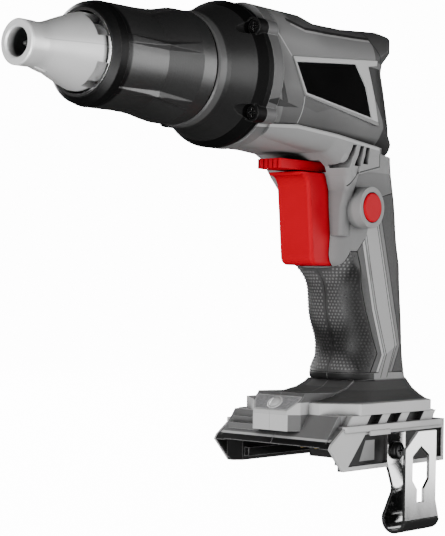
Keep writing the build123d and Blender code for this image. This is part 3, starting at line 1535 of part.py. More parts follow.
# Belt hook
with BuildPart() as belt_hook:
    leg_y = -foot_half_width + hook_recess_depth - seat_clearance
    with BuildSketch(Plane.YZ.offset(hook_front_x)):
        with BuildLine():
            loop_radius = (-29.9 - hook_outer_y) / 2
            loop_center = hook_bottom + loop_radius
            FilletPolyline(
                (leg_y, 15.0),
                (leg_y, 2.0),
                (leg_y - 3.8, -9.5),
                (-29.9, loop_center + 1.5),
                (-29.9, loop_center),
                radius=[8.0, 6.0, 1.2],
            )
            ThreePointArc(
                (-29.9, loop_center),
                (-29.9 - loop_radius, hook_bottom),
                (hook_outer_y, loop_center),
            )
            Line((hook_outer_y, loop_center), (hook_outer_y, hook_top))
            offset(amount=hook_thickness, side=Side.RIGHT)
        make_face()
    extrude(amount=hook_width)
    hook_rear_x = hook_front_x + hook_width
    slab(
        [
            (hook_front_x + hook_tab_width, hook_top + 1.0),
            (hook_front_x + hook_tab_width, -10.0),
            (hook_rear_x - 2.0, loop_center),
            (hook_rear_x + 1.0, loop_center),
            (hook_rear_x + 1.0, hook_top + 1.0),
        ],
        leg_y + hook_thickness,
        hook_outer_y + 2 * hook_thickness,
        mode=Mode.SUBTRACT,
    )
    leg_middle = hook_front_x + hook_leg_width / 2
    with BuildSketch(Plane.XZ.offset(-hook_outer_y - 3.0)) as cuts:
        with BuildLine():
            half = Polyline(
                (leg_middle, hook_top - 6.6),
                (leg_middle + hook_window_half, hook_top - 11.0),
                (leg_middle + hook_window_half, hook_top - 21.8),
                (leg_middle + hook_slot_half, hook_top - 26.0),
                (leg_middle + hook_slot_half, hook_top - 32.0),
                (leg_middle, hook_top - 32.0),
            )
            mirror(half, about=Plane.YZ.offset(leg_middle))
        make_face()
        Polygon(
            (hook_front_x - 1.0, hook_top - 8.4),
            (hook_front_x - 1.0, hook_top + 1.0),
            (hook_front_x + 11.3, hook_top + 1.0),
            align=None,
        )
        Polygon(
            (hook_front_x + hook_leg_width, hook_top + 1.0),
            (hook_front_x + hook_leg_width, hook_bottom + 14.0),
            (hook_rear_x - 0.6, hook_bottom + 5.0),
            (hook_rear_x + 1.0, hook_bottom + 5.0),
            (hook_rear_x + 1.0, hook_top + 1.0),
            align=None,
        )
    extrude(cuts.sketch, amount=6.0, mode=Mode.SUBTRACT)
    crossbar(
        hook_screw_x, hook_screw_z, leg_y + 1.0, leg_y - 3.0, hook_screw_radius + 0.2, mode=Mode.SUBTRACT
    )
belt_hook.part.label = "belt_hook"

with BuildPart() as belt_hook_screw:
    head_y = leg_y - hook_thickness - seat_clearance
    crossbar(hook_screw_x, hook_screw_z, insert_back + 0.3, head_y, hook_screw_radius)
    crossbar(hook_screw_x, hook_screw_z, head_y, head_y - 2.4, hook_screw_head)
    fillet(belt_hook_screw.faces().sort_by(Axis.Y)[0].edges(), radius=1.2)
    recess_plane = Plane(origin=(hook_screw_x, head_y - 2.4, hook_screw_z), x_dir=(1, 0, 0), z_dir=(0, -1, 0))
    cross_recess(recess_plane, hook_screw_head, 1.5)
belt_hook_screw.part.label = "belt_hook_screw"

with BuildPart() as hook_inserts:
    crossbar(hook_screw_x, hook_screw_z, insert_back, insert_face, insert_radius)
    bore = hook_screw_radius + running_clearance
    crossbar(hook_screw_x, hook_screw_z, insert_back, insert_face, bore, mode=Mode.SUBTRACT)
    mirror(about=Plane.XZ)
hook_inserts.part.label = "hook_inserts"

pieces = [
    left_housing, right_housing, left_cover, right_cover, badge_frames, badges,
    left_grip_pad, right_grip_pad, left_grip_band, right_grip_band, left_back_pad, right_back_pad,
    housing_screws, gear_case, gear_case_screws, ring_gear, motor_plate, spindle_bush,
    collar_retainer, depth_collar, collar_ring, depth_sleeve, nose_retaining_ring, nose_cone,
    spindle, spindle_clip, spindle_bearing, bit_holder, holder_magnet, screwdriver_bit, clutch_spring,
    planet_carrier, planet_gear_1, planet_gear_2, planet_gear_3,
    rotor_shaft, rotor_core, stator_core, stator_coils, sensor_board, cooling_fan, motor_bearings,
    trigger, switch_plunger, trigger_spring, switch_module, direction_lever,
    lock_button, lock_button_spring,
    control_module, terminal_block, terminal_blades, lamp_lens, lamp_board,
    motor_leads, battery_leads, belt_hook, belt_hook_screw, hook_inserts,
]
os.makedirs("parts", exist_ok=True)
for piece in pieces:
    export_step(piece.part, f"parts/{piece.part.label}.step")
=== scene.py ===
import bpy
import json
import math
from functools import reduce
from mathutils import Matrix, Vector
from mathutils.bvhtree import BVHTree


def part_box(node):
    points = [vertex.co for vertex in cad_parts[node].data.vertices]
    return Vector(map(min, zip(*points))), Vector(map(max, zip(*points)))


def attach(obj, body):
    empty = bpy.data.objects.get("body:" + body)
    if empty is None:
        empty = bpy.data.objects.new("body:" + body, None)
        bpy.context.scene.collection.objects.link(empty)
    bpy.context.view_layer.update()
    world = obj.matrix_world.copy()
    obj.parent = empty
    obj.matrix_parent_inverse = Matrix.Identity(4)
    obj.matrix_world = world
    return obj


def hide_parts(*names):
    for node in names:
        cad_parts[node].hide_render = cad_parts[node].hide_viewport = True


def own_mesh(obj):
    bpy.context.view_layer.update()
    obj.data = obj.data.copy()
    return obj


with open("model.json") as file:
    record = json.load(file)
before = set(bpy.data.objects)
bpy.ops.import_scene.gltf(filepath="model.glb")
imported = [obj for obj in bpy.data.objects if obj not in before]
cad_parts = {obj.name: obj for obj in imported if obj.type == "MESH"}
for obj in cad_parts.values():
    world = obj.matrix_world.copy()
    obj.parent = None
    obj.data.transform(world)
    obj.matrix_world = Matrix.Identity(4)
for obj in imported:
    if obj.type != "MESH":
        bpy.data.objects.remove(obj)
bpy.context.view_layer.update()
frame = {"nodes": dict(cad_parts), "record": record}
nodes = frame["nodes"]
print("frame loaded,", len(nodes), "pieces")

mm = 0.001  # metres


class Sock:
    # a shader socket that can be used in sums
    def __init__(self, tree, socket):
        self.tree = tree
        self.socket = socket

    @staticmethod
    def make(tree, kind, settings=None, inputs=None, out=0):
        node = tree.nodes.new(kind)
        for key, value in (settings or {}).items():
            setattr(node, key, value)
        for key, value in (inputs or {}).items():
            if isinstance(value, Sock):
                tree.links.new(value.socket, node.inputs[key])
            else:
                node.inputs[key].default_value = value
        return Sock(tree, node.outputs[out])

    def maths(self, operation, first, second=None, clamp=False):
        settings = {"operation": operation, "use_clamp": clamp}
        inputs = {0: first} if second is None else {0: first, 1: second}
        return Sock.make(self.tree, "ShaderNodeMath", settings, inputs)

    def __add__(self, other):
        return self.maths("ADD", self, other)

    def __radd__(self, other):
        return self.maths("ADD", other, self)

    def __sub__(self, other):
        return self.maths("SUBTRACT", self, other)

    def __rsub__(self, other):
        return self.maths("SUBTRACT", other, self)

    def __mul__(self, other):
        return self.maths("MULTIPLY", self, other)

    def __rmul__(self, other):
        return self.maths("MULTIPLY", other, self)

    def __gt__(self, other):
        return self.maths("GREATER_THAN", self, other)

    def __lt__(self, other):
        return self.maths("LESS_THAN", self, other)

    def __abs__(self):
        return self.maths("ABSOLUTE", self)

    def root(self):
        return self.maths("SQRT", self)

    def most(self, other):
        return self.maths("MAXIMUM", self, other)

    def least(self, other):
        return self.maths("MINIMUM", self, other)

    def soft(self, width):
        # 0 below, 1 above, over a width about zero
        return self.maths("ADD", self * (1.0 / width), 0.5, clamp=True)


def shade(value):
    return (value, value, value)


# how the masks that all finishes share are drawn
masks = {
    "bevelSamples": 4, "edgeGain": 6.0,
    "slotSamples": 6, "slotGain": 2.2, "slotLoss": 0.7,
    "outlineSoft": 0.25,
}


class Finish:
    # one material, with its shader, its piece's settings and the place on the part in millimetres
    def __init__(self, name, settings):
        self.settings = settings
        self.material = bpy.data.materials.new(name)
        self.material.use_nodes = True
        self.tree = self.material.node_tree
        self.shader = self.tree.nodes["Principled BSDF"]
        self.feed("Metallic", settings.get("metal", 0.0))
        self.feed("Specular IOR Level", settings.get("specular", 0.5))
        self.point = self.make("ShaderNodeTexCoord", out="Object")
        inputs = {0: self.point, "Scale": 1.0 / mm}
        scaled = self.make("ShaderNodeVectorMath", {"operation": "SCALE"}, inputs)
        split = self.make("ShaderNodeSeparateXYZ", None, {0: scaled}).socket.node
        self.x, self.y, self.z = (Sock(self.tree, output) for output in split.outputs)

    def make(self, kind, settings=None, inputs=None, out=0):
        return Sock.make(self.tree, kind, settings, inputs, out)

    def feed(self, name, value):
        if isinstance(value, Sock):
            self.tree.links.new(value.socket, self.shader.inputs[name])
        else:
            self.shader.inputs[name].default_value = value

    def noise(self, name):
        # scale and detail, and for a drawn-out grain its stretch along each axis
        scale, detail, *stretch = self.settings[name]
        where = self.point
        if stretch:
            inputs = {0: where, 1: stretch[0]}
            where = self.make("ShaderNodeVectorMath", {"operation": "MULTIPLY"}, inputs)
        inputs = {"Vector": where, "Scale": scale, "Detail": detail}
        return self.make("ShaderNodeTexNoise", None, inputs)

    def mix(self, factor, low, high):
        low = low if isinstance(low, Sock) else (*low, 1.0)
        high = high if isinstance(high, Sock) else (*high, 1.0)
        inputs = {"Factor": factor, 6: low, 7: high}
        return self.make("ShaderNodeMix", {"data_type": "RGBA"}, inputs, out=2)

    def vary(self, mask, colour):
        # a colour that goes from one share of itself to another
        low, high = self.settings["shares"]
        return self.mix(mask, [c * low for c in colour], [min(1.0, c * high) for c in colour])

    def layers(self, colour, **laid):
        # tones laid over a colour in turn, each by its own share where its mask is 1
        for name, mask in laid.items():
            tone, share = self.settings["layers"][name]
            tone = tone if isinstance(tone, tuple) else shade(tone)
            colour = self.mix(mask * share if share < 1.0 else mask, colour, tone)
        return colour

    def zone(self, name):
        # 1 where all of a zone's limits hold
        pieces = []
        for way, edge, width in self.settings["zones"][name]:
            axis, keeps = way[:-1], way[-1]
            place = abs(self.y) if axis == "side" else getattr(self, axis)
            pieces.append((place - edge if keeps == "+" else edge - place).soft(width))
        return reduce(Sock.__mul__, pieces)

    def beyond(self, first, last):
        # millimetres to the right of a line on the side view, looking from first to last
        run, rise = last[0] - first[0], last[1] - first[1]
        length = math.hypot(run, rise)
        offset = (first[1] * run - first[0] * rise) / length
        return self.x * (rise / length) - self.z * (run / length) + offset

    def line(self, name):
        # 1 on a line through points of the side view
        points, width = self.settings["lines"][name]
        pieces = []
        for first, last in zip(points, points[1:]):
            run, rise = last[0] - first[0], last[1] - first[1]
            length = math.hypot(run, rise)
            along = (self.x - first[0]) * (run / length) + (self.z - first[1]) * (rise / length)
            across = abs(self.beyond(first, last))
            pieces.append((across < width) * (along > -width) * (along < length + width))
        return reduce(Sock.most, pieces)

    def inside(self, name):
        # 1 inside a convex outline of the side view, its points going clockwise
        points = self.settings["outlines"][name]
        pieces = [self.beyond(first, last).soft(masks["outlineSoft"])
                  for first, last in zip(points, points[1:] + points[:1])]
        return reduce(Sock.__mul__, pieces)

    def rounded(self, radius):
        return self.make("ShaderNodeBevel", {"samples": masks["bevelSamples"]}, {"Radius": radius})

    def edges(self):
        # 1 near an outer edge of the solid, where the finishes lay a painted highlight, and on the plated
        # hook a darker edge
        plain = self.make("ShaderNodeNewGeometry", out="Normal")
        inputs = {0: self.rounded(self.settings["edge"]), 1: plain}
        dot = self.make("ShaderNodeVectorMath", {"operation": "DOT_PRODUCT"}, inputs, out="Value")
        return ((1.0 - dot) * masks["edgeGain"]).least(1.0)

    def slots(self):
        # 1 deep in a slot or hollow, 0 on open faces, from ambient occlusion; the finishes lay painted shade
        # there
        samples, inputs = {"samples": masks["slotSamples"]}, {"Distance": self.settings["slot"]}
        light = self.make("ShaderNodeAmbientOcclusion", samples, inputs, out="AO")
        return 1.0 - (light * masks["slotGain"] - masks["slotLoss"]).most(0.0).least(1.0)

    def fromAxis(self, height):
        # millimetres from a line along x at that height
        rise = self.z - height
        return (self.y * self.y + rise * rise).root()

    def rough(self, mask):
        base, spread = self.settings["rough"]
        return base + mask * spread

    def paint(self, colour, roughness, height=None):
        self.feed("Base Color", colour)
        self.feed("Roughness", roughness)
        normal = self.rounded(self.settings["bevel"])
        if height is not None:
            strength, depth = self.settings["bump"]
            normal = self.make("ShaderNodeBump", None, {
                "Strength": strength, "Distance": depth, "Height": height, "Normal": normal})
        self.feed("Normal", normal)
        return self.material


def dress(material, *names):
    for name in names:
        mesh = nodes[name].data
        mesh.materials.clear()
        mesh.materials.append(material)


def meshPiece(name, points, faces, material):
    data = bpy.data.meshes.new(name)
    data.from_pydata(points, [], faces)
    for polygon in data.polygons:
        polygon.use_smooth = True
    data.materials.append(material)
    piece = bpy.data.objects.new(name, data)
    bpy.context.collection.objects.link(piece)
    return piece


# in each finish: shares are how far the main tone wanders, and clouds, grain and the like are noise,
# rough is a base and a spread, bump a strength and a depth, and edge, slot and bevel reach that far,
# all three and the depth in metres; a layer is its tone and its share
# a zone's limit is an axis with the side that counts, an edge and its softness in millimetres
# outlines and lines are points of the side view, x and z in millimetres, a line with its half width
# in each finish the edge layer is a painted highlight along the outer edges (darker on the plated hook) and
# the slot layer is painted shade deep in slots and hollows

# moulded housing, with painted shade on the top of the foot, in the battery bay, in a recess and in the
# slots of the foot
housing = {
    "grey": 0.235, "shares": (0.93, 1.06), "clouds": (28.0, 2.0), "grain": (1900.0, 3.0),
    "specular": 0.14, "rough": (0.40, 0.12), "bump": (0.35, 0.0002), "grainRelief": 0.3,
    "edge": 0.0006, "slot": 0.005, "bevel": 0.0005,
    "layers": {
        "rim": (0.10, 1.0), "streak": (0.016, 1.0), "roof": (0.075, 1.0), "hood": (0.13, 1.0),
        "plates": (0.50, 1.0), "skirt": (0.02, 1.0), "neck": (0.15, 0.8), "vents": (0.075, 0.45),
        "sill": (0.42, 0.75), "stripe": (0.336, 1.0), "grooves": (0.02, 1.0), "lip": (0.42, 1.0),
        "bay": (0.004, 1.0), "edges": (0.42, 0.5), "slots": (0.012, 1.0),
    },
    "zones": {
        "rim": [("x-", -77.8, 0.3), ("z+", 140.0, 14.0)],
        "roof": [("z+", 29.3, 0.3), ("z-", 37.8, 0.3)],
        "hood": [("z+", 12.7, 0.3), ("z-", 23.9, 0.3), ("x-", -31.5, 0.4)],
        "lampBox": [("side-", 9.8, 0.3), ("z+", 16.6, 0.2)],
        "plates": [("z-", 29.2, 0.2), ("side+", 31.9, 0.3)],
        "tray": [("z+", 23.9, 0.2), ("z-", 29.1, 0.2)],
        "skirt": [("z+", 37.4, 0.3), ("z-", 41.4, 0.3), ("x-", 11.0, 0.6)],
        "neck": [("z-", 128.0, 8.0), ("z+", 84.0, 4.0), ("side-", 19.5, 1.5)],
        "vents": [("z+", 122.0, 3.0), ("z-", 133.6, 0.6), ("x+", -16.5, 2.0), ("side-", 22.0, 1.0)],
        "sill": [("side+", 21.0, 0.5)],
        "stripe": [("side+", 13.0, 1.0)],
        "lip": [("z+", 13.3, 0.2), ("z-", 14.3, 0.2), ("x-", -38.0, 0.3), ("side-", 31.0, 0.4)],
        "bayFront": [("x-", -29.0, 2.0)],
        "bayRear": [("x+", -36.0, 1.0)],
        "recess": [("side-", 32.6, 0.3), ("side+", 30.0, 0.3), ("z-", 15.4, 0.2), ("x+", -29.5, 0.4)],
        "footSlots": [("side-", 32.2, 0.3), ("z+", 19.8, 0.1), ("z-", 23.9, 0.1), ("x+", -20.0, 0.4)],
    },
    "outlines": {
        "streak": [(-84.6, 157.6), (-77.4, 159.2), (-77.4, 155.8), (-84.6, 156.6)],
        "stripe": [(2.6, 103.0), (9.0, 121.0), (29.0, 53.8), (19.6, 49.0)],
        "lug": [(-19.5, 3.6), (-15.0, 12.6), (-8.0, 12.6), (-8.0, 3.6)],
    },
    "lines": {
        "sill": ([(-86.0, 147.2), (-60.0, 148.4), (-32.0, 146.6), (-0.6, 143.2)], 0.55),
        "ventFrame": ([(0.9, 143.2), (0.9, 135.4), (-14.6, 131.9), (-17.4, 126.0)], 0.3),
        "stripeFront": ([(3.4, 104.5), (6.9, 90.4), (12.4, 70.7), (20.8, 49.2), (16.3, 39.0)], 0.22),
        "stripeRear": ([(8.8, 119.0), (16.9, 90.4), (22.5, 70.4), (27.6, 53.6), (21.2, 39.0)], 0.22),
    },
    "trayShare": 0.8, "footSlotShare": 0.92,
    "bayHalf": 27.3, "bayWider": 4.6, "bayTop": 13.3, "bayHigher": 1.4, "baySoft": 0.2,
}


def housingFinish():
    look = Finish("mouldedGrey", housing)
    grain = look.noise("grain")
    hood, lampBox = look.zone("hood"), look.zone("lampBox")
    tray = look.zone("tray") * housing["trayShare"]
    grooves = look.line("ventFrame").most(look.line("stripeFront")).most(look.line("stripeRear"))
    # painted shade, near black, in the battery bay, in a recess of the foot and in the slots of the foot
    half = housing["bayHalf"] + look.zone("bayFront") * housing["bayWider"]
    top = housing["bayTop"] + look.zone("bayRear") * housing["bayHigher"]
    bay = (half - abs(look.y)).soft(housing["baySoft"]) * (top - look.z).soft(housing["baySoft"])
    recess = look.zone("recess") * (1.0 - look.inside("lug"))
    footSlots = look.zone("footSlots") * housing["footSlotShare"]
    colour = look.layers(
        look.vary(look.noise("clouds"), shade(housing["grey"])),
        rim=look.zone("rim"),
        # painted shadow of the gear case lug on the housing rim
        streak=look.inside("streak"),
        # painted shade on the top of the foot
        roof=look.zone("roof"),
        hood=hood * (1.0 - lampBox),
        plates=look.zone("plates").most(tray).most(hood * lampBox),
        skirt=look.zone("skirt"),
        # painted shade on the neck under the barrel
        neck=look.zone("neck"),
        # painted shade under the overhang of the vent panel
        vents=look.zone("vents"),
        # painted highlight along the top edge of the housing, below the cover
        sill=look.line("sill") * look.zone("sill"),
        stripe=look.inside("stripe") * look.zone("stripe"),
        grooves=grooves,
        lip=look.zone("lip"),
        bay=bay.most(recess).most(footSlots),
        edges=look.edges(),
        slots=look.slots(),
    )
    return look.paint(colour, look.rough(grain), grain * housing["grainRelief"] - grooves)


dress(housingFinish(), "left_housing", "right_housing")

# upper skin: a pillar behind the gear case, a dark top strip, a bumper and a dark rear strip, with painted
# light laid on it: a lighter upper band, highlight lines, a darker lower band and top, and a shadow below
# the lug
cover = {
    "grey": 0.125, "shares": (0.92, 1.08), "clouds": (30.0, 2.0), "grain": (2100.0, 3.0),
    "specular": 0.14, "rough": (0.42, 0.12), "bump": (0.5, 0.0003), "grainRelief": 0.25, "darkRelief": 0.8,
    "edge": 0.0006, "slot": 0.004, "bevel": 0.0005,
    "layers": {
        "upper": (0.16875, 1.0), "low": (0.0775, 1.0), "pillar": (0.135, 1.0), "shadow": (0.05, 0.6),
        "roof": (0.07, 1.0), "bumper": (0.06, 1.0), "dark": (0.016, 1.0), "bright": (0.36, 0.8),
        "seams": (0.012, 1.0), "edges": (0.36, 0.45), "slots": (0.012, 1.0),
    },
    "zones": {
        "upper": [("z+", 179.0, 10.0)],
        "low": [("z-", 162.0, 6.0), ("x-", -28.0, 30.0)],
        "roof": [("z+", 191.0, 1.2), ("x+", -66.0, 3.0)],
        "bumper": [("x+", -7.0, 0.5), ("z+", 181.8, 0.8)],
        "rear": [("x+", 1.6, 0.6), ("z-", 179.0, 0.6)],
    },
    "outlines": {
        "groove": [(-76.4, 176.5), (-69.6, 158.0), (-73.4, 158.0)],
        "lug": [(-84.6, 157.6), (-77.4, 159.2), (-62.0, 156.4), (-79.0, 155.6)],
        "shadow": [(-60.4, 157.8), (-58.0, 161.2), (-38.0, 158.4), (-49.0, 155.4)],
        "rearStrip": [(-13.2, 179.4), (-2.6, 179.0), (6.6, 150.6), (2.0, 152.6), (-6.6, 165.4)],
    },
    "lines": {
        "pillar": ([(-80.5, 190.0), (-78.4, 176.0), (-79.8, 157.0), (-82.0, 149.0)], 0.22),
        "crease": ([(-76.8, 186.2), (-71.8, 181.6), (-67.2, 177.4)], 0.3),
        "kink": ([(-58.2, 161.4), (-60.2, 149.6)], 0.25),
        "topLight": ([(-66.0, 191.6), (-57.0, 189.6), (-8.2, 191.4)], 0.5),
        "topDark": ([(-67.5, 193.4), (-57.0, 190.6), (-7.4, 192.4)], 0.75),
        "bumper": ([(-7.0, 199.0), (-7.0, 190.6), (-1.0, 181.6)], 0.3),
    },
    "pillarEdge": ((-75.6, 187.0), (-72.0, 149.0)), "pillarSoft": 0.4, "rearShare": 0.8,
}


def coverFinish():
    look = Finish("upperSkin", cover)
    grain = look.noise("grain")
    strip = look.inside("rearStrip").most(look.zone("rear") * cover["rearShare"])
    # the groove and the rear and top strips are dark, and inside the lug outline is a painted shadow cast by
    # the lug
    dark = look.inside("groove").most(look.inside("lug")).most(strip).most(look.line("topDark"))
    seams = look.line("pillar").most(look.line("bumper"))
    colour = look.layers(
        look.vary(look.noise("clouds"), shade(cover["grey"])),
        # painted highlight: the upper band lighter
        upper=look.zone("upper"),
        # painted shade: the lower band darker
        low=look.zone("low"),
        pillar=look.beyond(*cover["pillarEdge"]).soft(cover["pillarSoft"]),
        shadow=look.inside("shadow"),
        # painted shade on the top of the cover
        roof=look.zone("roof"),
        bumper=look.zone("bumper"),
        dark=dark,
        # painted highlights along the top edge, a crease and a kink
        bright=look.line("topLight").most(look.line("crease")).most(look.line("kink")),
        seams=seams,
        edges=look.edges(),
        slots=look.slots(),
    )
    relief = grain * cover["grainRelief"] - seams - dark * cover["darkRelief"]
    return look.paint(colour, look.rough(grain), relief)


dress(coverFinish(), "left_cover", "right_cover")

# badge plate in its light frame, which is thin at the left and below
badge = {
    "low": 0.0025, "high": 0.006, "smear": (60.0, 3.0),
    "specular": 0.0, "rough": (0.26, 0.1), "bevel": 0.0005,
}
badgeFrame = {
    "low": 0.33, "high": 0.38, "clouds": (40.0, 2.0), "grain": (1500.0, 2.0),
    "specular": 0.2, "rough": (0.3, 0.1), "bump": (0.1, 0.0001), "bevel": 0.0005,
    "thin": [((-57.2, 163.2), (-64.6, 175.6), 0.9), ((-9.6, 156.6), (-57.2, 163.2), 0.7)], "thinSoft": 0.25,
}


def badgeFinish():
    look = Finish("glossBlack", badge)
    smear = look.noise("smear")
    colour = look.mix(smear, shade(badge["low"]), shade(badge["high"]))
    return look.paint(colour, look.rough(smear))


def badgeFrameFinish():
    look = Finish("badgeFrame", badgeFrame)
    grain = look.noise("grain")
    colour = look.mix(look.noise("clouds"), shade(badgeFrame["low"]), shade(badgeFrame["high"]))
    for first, last, width in badgeFrame["thin"]:
        kept = (look.beyond(first, last) + width).soft(badgeFrame["thinSoft"])
        colour = look.mix(kept, shade(cover["grey"]), colour)
    return look.paint(colour, look.rough(grain), grain)


dress(badgeFinish(), "badges")
dress(badgeFrameFinish(), "badge_frames")

# soft rubber on the grip: the dotted pads, the bands beside them and the back strips
pad = {
    "black": 0.010, "front": 0.108, "baseGain": 0.6, "dotGain": 1.7,
    "shares": (0.7, 1.5), "speckle": (1440.0, 3.0),
    "specular": 0.4, "rough": (0.42, 0.2), "bump": (0.25, 0.0002),
    "edge": 0.0005, "slot": 0.0015, "bevel": 0.0005,
    "frontEdge": ((0.0, 41.0), (-8.0, 86.0)), "frontReach": 0.7, "frontSoft": 3.4,
    "layers": {"edges": (0.10, 0.4), "slots": (0.004, 1.0)},
    "zones": {"joint": [("side-", 1.2, 0.6)]},
}
band = {
    "black": 0.045, "shares": (0.6, 1.5), "speckle": (900.0, 4.0),
    "specular": 0.4, "rough": (0.46, 0.2), "bump": (0.3, 0.0002),
    "edge": 0.0005, "slot": 0.002, "bevel": 0.0005,
    "layers": {"rim": (0.40, 1.0), "edges": (0.12, 0.3), "slots": (0.006, 1.0)},
    "lines": {"rim": ([(1.2, 101.5), (4.4, 90.2), (9.9, 70.4), (18.2, 49.3), (13.8, 41.0)], 1.0)},
}
back = {
    "black": 0.035, "shares": (0.5, 1.9), "speckle": (900.0, 4.0),
    "specular": 0.4, "rough": (0.5, 0.25), "bump": (0.4, 0.00025), "rimFlatter": 0.7,
    "edge": 0.0005, "slot": 0.002, "bevel": 0.0005,
    "layers": {"rim": (0.15, 1.0), "seam": (0.008, 1.0), "edges": (0.16, 0.3), "slots": (0.008, 1.0)},
    "lines": {
        "rim": ([(10.6, 121.5), (19.4, 90.9), (25.0, 70.9), (30.2, 53.8), (23.6, 41.0)], 1.5),
        "seam": ([(12.6, 121.5), (21.2, 91.4), (26.8, 71.4), (31.9, 53.8), (25.4, 41.0)], 0.32),
    },
}


def padFinish(name, gain):
    look = Finish(name, pad)
    grain = look.noise("speckle")
    # painted sheen: the front of the pad lighter, as lit from the front
    front = (pad["frontReach"] - look.beyond(*pad["frontEdge"])).soft(pad["frontSoft"])
    away = 1.0 - look.zone("joint")  # the two pads meet without a dark joint
    colour = look.vary(grain, shade(pad["black"] * gain))
    colour = look.layers(
        look.mix(front, colour, shade(pad["front"] * gain)),
        edges=look.edges() * away,
        slots=look.slots().least(away),
    )
    return look.paint(colour, look.rough(grain), grain)


def bandFinish():
    look = Finish("gripBand", band)
    grain = look.noise("speckle")
    colour = look.layers(
        look.vary(grain, shade(band["black"])),
        # painted highlight along the chamfered rim of the band
        rim=look.line("rim"),
        edges=look.edges(),
        slots=look.slots(),
    )
    return look.paint(colour, look.rough(grain), grain)


def backFinish():
    look = Finish("backStrip", back)
    grain = look.noise("speckle")
    rim, seam = look.line("rim"), look.line("seam")
    colour = look.layers(
        look.vary(grain, shade(back["black"])),
        rim=rim,
        seam=seam,
        edges=look.edges(),
        slots=look.slots(),
    )
    return look.paint(colour, look.rough(grain), grain * (1.0 - rim * back["rimFlatter"]) - seam)


# the pad takes a darker copy of the rubber as painted shade between the dots, and the dots a lighter copy as
# a painted highlight
dress(padFinish("gripRubber", pad["baseGain"]), "left_grip_pad", "right_grip_pad")
dotRubber = padFinish("dotRubber", pad["dotGain"])
dress(bandFinish(), "left_grip_band", "right_grip_band")
dress(backFinish(), "left_back_pad", "right_back_pad")

# satin black metal and plastic at the front
case = {
    "black": 0.014, "shares": (0.85, 1.2), "clouds": (35.0, 2.0), "grain": (1600.0, 3.0),
    "specular": 0.6, "rough": (0.32, 0.12), "bump": (0.2, 0.00015),
    "edge": 0.0007, "slot": 0.004, "bevel": 0.0005,
    "frontMetal": 0.2, "rearMetal": 0.7, "rearDull": 0.25,
    "layers": {"rim": (0.08, 1.0), "rear": (0.006, 1.0), "edges": (0.12, 0.4), "slots": (0.004, 1.0)},
    "zones": {"rim": [("x-", -106.4, 0.6)], "rear": [("x+", -92.0, 0.3)]},
}
collar = {
    "black": 0.012, "shares": (0.75, 1.4), "grain": (1500.0, 3.0), "marks": (1.0, 1.0, (1800.0, 40.0, 40.0)),
    "specular": 0.8, "rough": (0.33, 0.14), "bump": (0.25, 0.00015), "grainRelief": 0.6, "markRelief": 0.4,
    "edge": 0.0006, "bevel": 0.0005, "lipMetal": 0.85,
    "layers": {"edges": (0.12, 0.3)},
    "zones": {"lip": [("x-", -157.5, 1.0)]},
}
screws = {
    "black": 0.012, "worn": 0.16, "grain": (900.0, 2.0),
    "metal": 0.8, "rough": (0.24, 0.14), "bump": (0.1, 0.0001), "edge": 0.0003, "bevel": 0.0002,
}


def caseFinish():
    look = Finish("satinCasting", case)
    grain = look.noise("grain")
    rear = look.zone("rear")
    look.feed("Metallic", case["frontMetal"] + rear * case["rearMetal"])
    colour = look.layers(
        look.vary(look.noise("clouds"), shade(case["black"])),
        # painted highlight on the chamfer ring at the front of the case
        rim=look.zone("rim"),
        rear=rear,
        edges=look.edges(),
        slots=look.slots(),
    )
    return look.paint(colour, look.rough(grain) + rear * case["rearDull"], grain)


def collarFinish():
    look = Finish("satinCollar", collar)
    grain = look.noise("grain")
    look.feed("Metallic", look.zone("lip") * collar["lipMetal"])
    colour = look.layers(look.vary(grain, shade(collar["black"])), edges=look.edges())
    relief = grain * collar["grainRelief"] + look.noise("marks") * collar["markRelief"]
    return look.paint(colour, look.rough(grain), relief)


def screwFinish():
    look = Finish("blackScrew", screws)
    grain = look.noise("grain")
    # painted highlight along the edges of the black screws
    colour = look.mix(look.edges(), shade(screws["black"]), shade(screws["worn"]))
    return look.paint(colour, look.rough(grain), grain)


dress(caseFinish(), "gear_case")
dress(collarFinish(), "depth_collar")
dress(screwFinish(), "housing_screws", "gear_case_screws", "belt_hook_screw")

# bare metal: the cast nose, turned and plated steel, brass and copper
nose = {
    "grey": 0.78, "shares": (0.94, 1.05), "clouds": (45.0, 2.0), "grain": (1400.0, 3.0),
    "marks": (1.0, 1.0, (2400.0, 40.0, 40.0)), "grainRelief": 0.6, "markRelief": 0.4,
    "metal": 0.45, "rough": (0.36, 0.12), "bump": (0.16, 0.00012),
    "edge": 0.0006, "slot": 0.006, "bevel": 0.0005,
    "boreHeight": 169.7, "boreRadius": 7.2, "boreSoft": 0.5,
    "layers": {
        "parting": (0.25, 0.35), "front": (0.97, 1.0), "edges": (0.92, 0.6), "slots": (0.02, 1.0),
        "bore": (0.012, 1.0),
    },
    "zones": {
        "parting": [("z+", 170.98, 0.2), ("z-", 171.42, 0.2), ("x+", -193.0, 1.0)],
        "front": [("x-", -197.6, 0.6)],
        "bore": [("x+", -196.6, 3.6)],
    },
}
hook = {
    "chrome": 0.34, "shares": (0.94, 1.08), "wear": (260.0, 4.0, (1.0, 1.0, 0.25)),
    "metal": 1.0, "rough": (0.12, 0.10), "bump": (0.05, 0.0001), "edge": 0.0005, "bevel": 0.0003,
    "layers": {"edges": (0.03, 0.85)},
}
# the roughness of these two is added to each piece's own
plain = {
    "shares": (0.8, 1.25), "grain": (1200.0, 3.0),
    "rough": (-0.05, 0.1), "bump": (0.15, 0.00015), "bevel": 0.0003,
}
turned = {
    "shares": (0.85, 1.1), "dull": (120.0, 3.0), "marks": (1.0, 1.0, (3200.0, 30.0, 30.0)),
    "metal": 1.0, "rough": (-0.06, 0.12), "bump": (0.15, 0.0001), "bevel": 0.0003,
}
